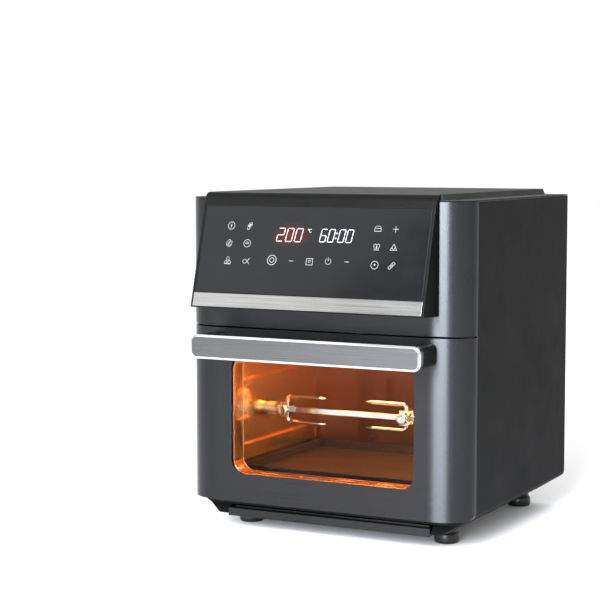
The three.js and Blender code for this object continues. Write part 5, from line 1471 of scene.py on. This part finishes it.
@dataclass
class Rotisserie:
    """Spit, forks, thumbscrews and drive socket."""

    prong_radius: float = 0.0019
    prong_spread: float = 0.014
    prong_bend: float = 0.0045
    prong_steps: int = 22
    hub: float = 0.010
    hub_half: float = 0.008
    hub_hole: float = 0.0033
    knob: float = 0.006
    knob_ribs: int = 16
    flute: float = 0.045
    shank_radius: float = 0.00195
    thread_depth: float = 0.0002
    thread_pitch: float = 0.0008
    neck: float = 0.008

    def spit(self) -> None:
        """Square rod with rounded arrises and a round neck at its end."""
        low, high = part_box("spit_rod")
        centre = ((low[1] + high[1]) / 2.0, (low[2] + high[2]) / 2.0)
        half = (high[1] - low[1]) / 2.0
        neck = self.neck
        bar = block((low[0], centre[0] - half, centre[1] - half), (high[0] - neck, centre[0] + half,
                                                                  centre[1] + half))
        end = lathe(np.array([(0.0026, high[0] - neck - 0.001), (0.0026, high[0] - 0.0006),
                              (0.0020, high[0])]), (0.0, centre[0], centre[1]), Axis.X, 24)
        piece = Maker.raw("spit", bar.joined(end))
        Maker.soften(piece, 0.0005, 3)
        Maker.give(piece, "spit", "bright_steel", [FINISHES.bright_steel], ("spit_rod",))

    def fork(self, name: str, body: str, sign: float) -> None:
        """Fork: drilled hub and two wire prongs, each bent out, along the spit and drawn to a point.

        Args:
            name: CAD fork it stands for.
            body: Body it rides on.
            sign: +1 where the prongs point to +X.
        """
        low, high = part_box(name)
        start = low[0] if sign > 0 else high[0]
        tip = high[0] if sign > 0 else low[0]
        y, z = (low[1] + high[1]) / 2.0, (low[2] + high[2]) / 2.0
        hub_half, hole = self.hub_half, self.hub_hole
        corner = block((min(start, start + sign * self.hub), y - hub_half, z - hub_half),
                       (max(start, start + sign * self.hub), y + hub_half, z + hub_half))
        piece = Maker.raw(f"hub_{body}", corner)
        bore = block((low[0] - 0.001, y - hole, z - hole), (high[0] + 0.001, y + hole, z + hole))
        Maker.carve(piece, bore)
        Maker.soften(piece, 0.0008, 3)
        Maker.give(piece, body, "bright_steel", [FINISHES.bright_steel], (name,))
        middle = start + sign * self.hub / 2.0
        prongs = []
        for side in (-1.0, 1.0):
            turn = np.radians(np.linspace(0.0, 90.0, 12))
            bend, count = self.prong_bend, self.prong_steps
            x = np.concatenate([[0.0, 0.0], bend * (1.0 - np.cos(turn)),
                                np.linspace(0.009, abs(tip - middle), count)])
            h = np.concatenate([[0.005, 0.0085], self.prong_spread - bend + bend * np.sin(turn),
                                np.full(count, self.prong_spread)])
            path = np.stack([middle + sign * x, np.full(len(x), y), z + side * h], axis=1)
            radii = np.full(len(x), self.prong_radius)
            reach = abs(tip - middle) - x
            radii *= np.clip(0.12 + reach / 0.009, 0.12, 1.0)
            prongs.append(sweep(path, radii, (0.0, 1.0, 0.0)))
        wires = Maker.raw(f"prongs_{body}", prongs[0].joined(prongs[1]))
        merge_and_face_out(wires)
        Maker.crisp(wires, 60.0)
        Maker.give(wires, body, "bright_steel", [FINISHES.bright_steel])

    def thumbscrew(self, name: str, body: str) -> None:
        """Thumbscrew: fluted knob, its radius waving round it, and a threaded shank.

        Args:
            name: CAD screw it stands for.
            body: Body it rides on.
        """
        low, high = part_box(name)
        x, z = (low[0] + high[0]) / 2.0, (low[2] + high[2]) / 2.0
        radius = (high[0] - low[0]) / 2.0
        sides = self.knob_ribs * 6
        angle = np.linspace(0.0, 2.0 * math.pi, sides, endpoint=False)
        knob = self.knob
        rings = np.array([(0.7, 0.0), (0.9, 0.0003), (0.98, 0.0009), (0.98, knob - 0.0009),
                          (0.9, knob - 0.0003), (0.6, knob)])
        wave = 1.0 - self.flute * (0.5 - 0.5 * np.cos(angle * self.knob_ribs))
        loops = np.zeros((len(rings), sides, 3))
        r = radius * rings[:, :1] * wave[None, :] * 1.02
        loops[:, :, 0] = x + np.minimum(r, radius) * np.cos(angle)
        loops[:, :, 2] = z - np.minimum(r, radius) * np.sin(angle)
        loops[:, :, 1] = low[1] + rings[:, 1:]
        place = np.linspace(low[1] + knob - 0.0005, high[1], 40)
        turns = (place - place[0]) / self.thread_pitch * 2.0 * math.pi
        shank = np.stack([self.shank_radius - self.thread_depth * (0.5 + 0.5 * np.cos(turns)), place],
                         axis=1)
        piece = Maker.raw(f"knob_{body}", stack(loops).joined(lathe(shank, (x, 0.0, z), Axis.Y, 20)))
        merge_and_face_out(piece)
        Maker.crisp(piece, 45.0)
        Maker.give(piece, body, "bright_steel", [FINISHES.bright_steel], (name,))

    def build(self) -> None:
        """Makes the rotisserie's pieces."""
        self.spit()
        self.fork("fork_left", "left_fork", 1.0)
        self.fork("fork_right", "right_fork", -1.0)
        self.thumbscrew("thumbscrew_left", "left_screw")
        self.thumbscrew("thumbscrew_right", "right_screw")
        Maker.dress(FINISHES.motor_steel, "drive_socket")


@dataclass
class Studio:
    """Pale floor, soft light, the oven's own warm light and the camera."""

    camera_place: tuple[float, float, float] = (0.7930, -1.6966, 0.4006)
    camera_way: tuple[float, float, float] = (-0.45984, 0.88386, -0.08568)
    lens: float = 104.4
    card_middle: tuple[float, float, float] = (-1.025, -2.257, 1.441)
    card_edge: tuple[float, float, float] = (0.6433, 0.0387, 0.7647)
    card_up: tuple[float, float, float] = (-0.6155, 0.6201, 0.4864)
    card_way: tuple[float, float, float] = (0.4553, 0.7836, -0.4227)
    card_size: tuple[float, float] = (1.5, 1.2)
    card_shift: float = 0.1
    card_power: float = 8.0
    card_colour: Colour = (1.0, 1.0, 1.0)
    strip_place: tuple[float, float, float] = (0.26, -2.6, 0.95)
    strip_target: tuple[float, float, float] = (0.14, 0.0, 0.3)
    strip_size: tuple[float, float] = (1.3, 1.9)
    strip_power: float = 275.0
    strip_colour: Colour = (0.88, 0.92, 1.0)
    surround: float = 1.06
    lamp_power: float = 0.6
    lamp_colour: Colour = (1.0, 0.66, 0.32)
    rear_power: float = 0.5
    rear_colour: Colour = (1.0, 0.6, 0.22)
    glow_power: float = 2.4
    glow_colour: Colour = (1.0, 0.36, 0.09)

    def floor(self) -> None:
        """Wide pale floor."""
        size = 12.0
        floor = Maker.raw("floor", Surface(
            np.array([(-size, -size, 0.0), (size, -size, 0.0), (size, size, 0.0), (-size, size, 0.0)]),
            [(0, 1, 2, 3)]))
        nodes = Nodes("floor_paint")
        mottle = nodes.noise((3.0,) * 3, 2.0, 0.5)
        nodes.link(nodes.mix(mottle, (0.945, 0.945, 0.945), (0.96, 0.96, 0.96)),
                   nodes.shader.inputs["Base Color"])
        nodes.put(Roughness=0.75, Specular_IOR_Level=0.15)
        floor.data.materials.append(nodes.material)

    def sky(self) -> None:
        """White surround."""
        world = bpy.data.worlds.new("surround")
        bpy.context.scene.world = world
        world.use_nodes = True
        background = world.node_tree.nodes["Background"]
        background.inputs["Color"].default_value = (1.0, 1.0, 1.0, 1.0)
        background.inputs["Strength"].default_value = self.surround

    def hang(self, data: bpy.types.Light, power: float, colour: Colour, matrix: Matrix) -> None:
        """Puts a light in the scene.

        Args:
            data: The light.
            power: In watts.
            colour: Of its light.
            matrix: Its place and turn.
        """
        data.energy, data.color = power, colour
        light = bpy.data.objects.new(data.name, data)
        light.matrix_world = matrix
        bpy.context.scene.collection.objects.link(light)

    def area(self, name: str, place: tuple, target: tuple, size: tuple, power: float, colour: Colour) -> None:
        """Rectangular soft light aimed at a point.

        Args:
            name: Light's name.
            place: Where it stands.
            target: Where it points.
            size: Width and height.
            power: In watts.
            colour: Of its light.
        """
        data = bpy.data.lights.new(name, "AREA")
        data.shape, data.size, data.size_y = "RECTANGLE", size[0], size[1]
        way = Vector(target) - Vector(place)
        turn = way.to_track_quat("-Z", "Y").to_matrix().to_4x4()
        self.hang(data, power, colour, Matrix.Translation(place) @ turn)

    def card(self) -> None:
        """Tilted soft light whose lower edge shows as a slanted line in the touch glass."""
        edge, up, way = (Vector(v).normalized() for v in (self.card_edge, self.card_up, self.card_way))
        data = bpy.data.lights.new("card", "AREA")
        data.shape, data.size, data.size_y = "RECTANGLE", *self.card_size
        place = Vector(self.card_middle) + up * (self.card_size[1] / 2.0) - edge * self.card_shift
        back = -way
        turn = Matrix((up.cross(back), up, back)).transposed().to_4x4()
        self.hang(data, self.card_power, self.card_colour, Matrix.Translation(place) @ turn)

    def lights(self) -> None:
        """Strip in front of the oven for the corner's highlight, and the tilted card."""
        self.area("strip", self.strip_place, self.strip_target, self.strip_size, self.strip_power,
                  self.strip_colour)
        self.card()

    def warmth(self) -> None:
        """Glow of the heater under the ceiling, a warm light at the rear and the cavity lamp."""
        low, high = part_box("heater_guard")
        data = bpy.data.lights.new("heater_glow", "AREA")
        data.shape, data.size = "DISK", (high[0] - low[0]) * 0.8
        under = ((low[0] + high[0]) / 2.0, (low[1] + high[1]) / 2.0, low[2] - 0.001)
        self.hang(data, self.glow_power, self.glow_colour, Matrix.Translation(under))
        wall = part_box("cavity_right_wall")[0]
        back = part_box("cavity_back")[0]
        self.area("rear_glow", (wall[0] - 0.004, back[1] - 0.03, 0.125), (-0.1, back[1] - 0.06, 0.12),
                  (0.018, 0.12), self.rear_power, self.rear_colour)
        low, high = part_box("lamp_lens")
        data = bpy.data.lights.new("cavity_lamp", "POINT")
        data.shadow_soft_size = 0.006
        before = (low[0] - 0.009, (low[1] + high[1]) / 2.0, (low[2] + high[2]) / 2.0)
        self.hang(data, self.lamp_power, self.lamp_colour, Matrix.Translation(before))

    def camera(self) -> None:
        """Camera a little above the oven and to its right."""
        data = bpy.data.cameras.new("camera")
        data.lens, data.sensor_width = self.lens, 36.0
        data.clip_start, data.clip_end = 0.05, 60.0
        camera = bpy.data.objects.new("camera", data)
        way = Vector(self.camera_way).normalized()
        camera.matrix_world = (Matrix.Translation(self.camera_place)
                               @ way.to_track_quat("-Z", "Y").to_matrix().to_4x4())
        bpy.context.scene.collection.objects.link(camera)
        bpy.context.scene.camera = camera
        bpy.context.scene.view_settings.view_transform = "Standard"

    def build(self) -> None:
        """Sets the whole studio."""
        self.camera()
        self.floor()
        self.sky()
        self.lights()
        self.warmth()


def main() -> None:
    """Builds the studio and every sub-assembly in order."""
    logging.basicConfig(level=logging.INFO, format="%(message)s")
    for part in (Studio(), OuterBody(), ControlPanel(), Door(), Cavity(), Rotisserie()):
        LOG.info("building %s", type(part).__name__)
        part.build()


if __name__ == "__main__":
    main()
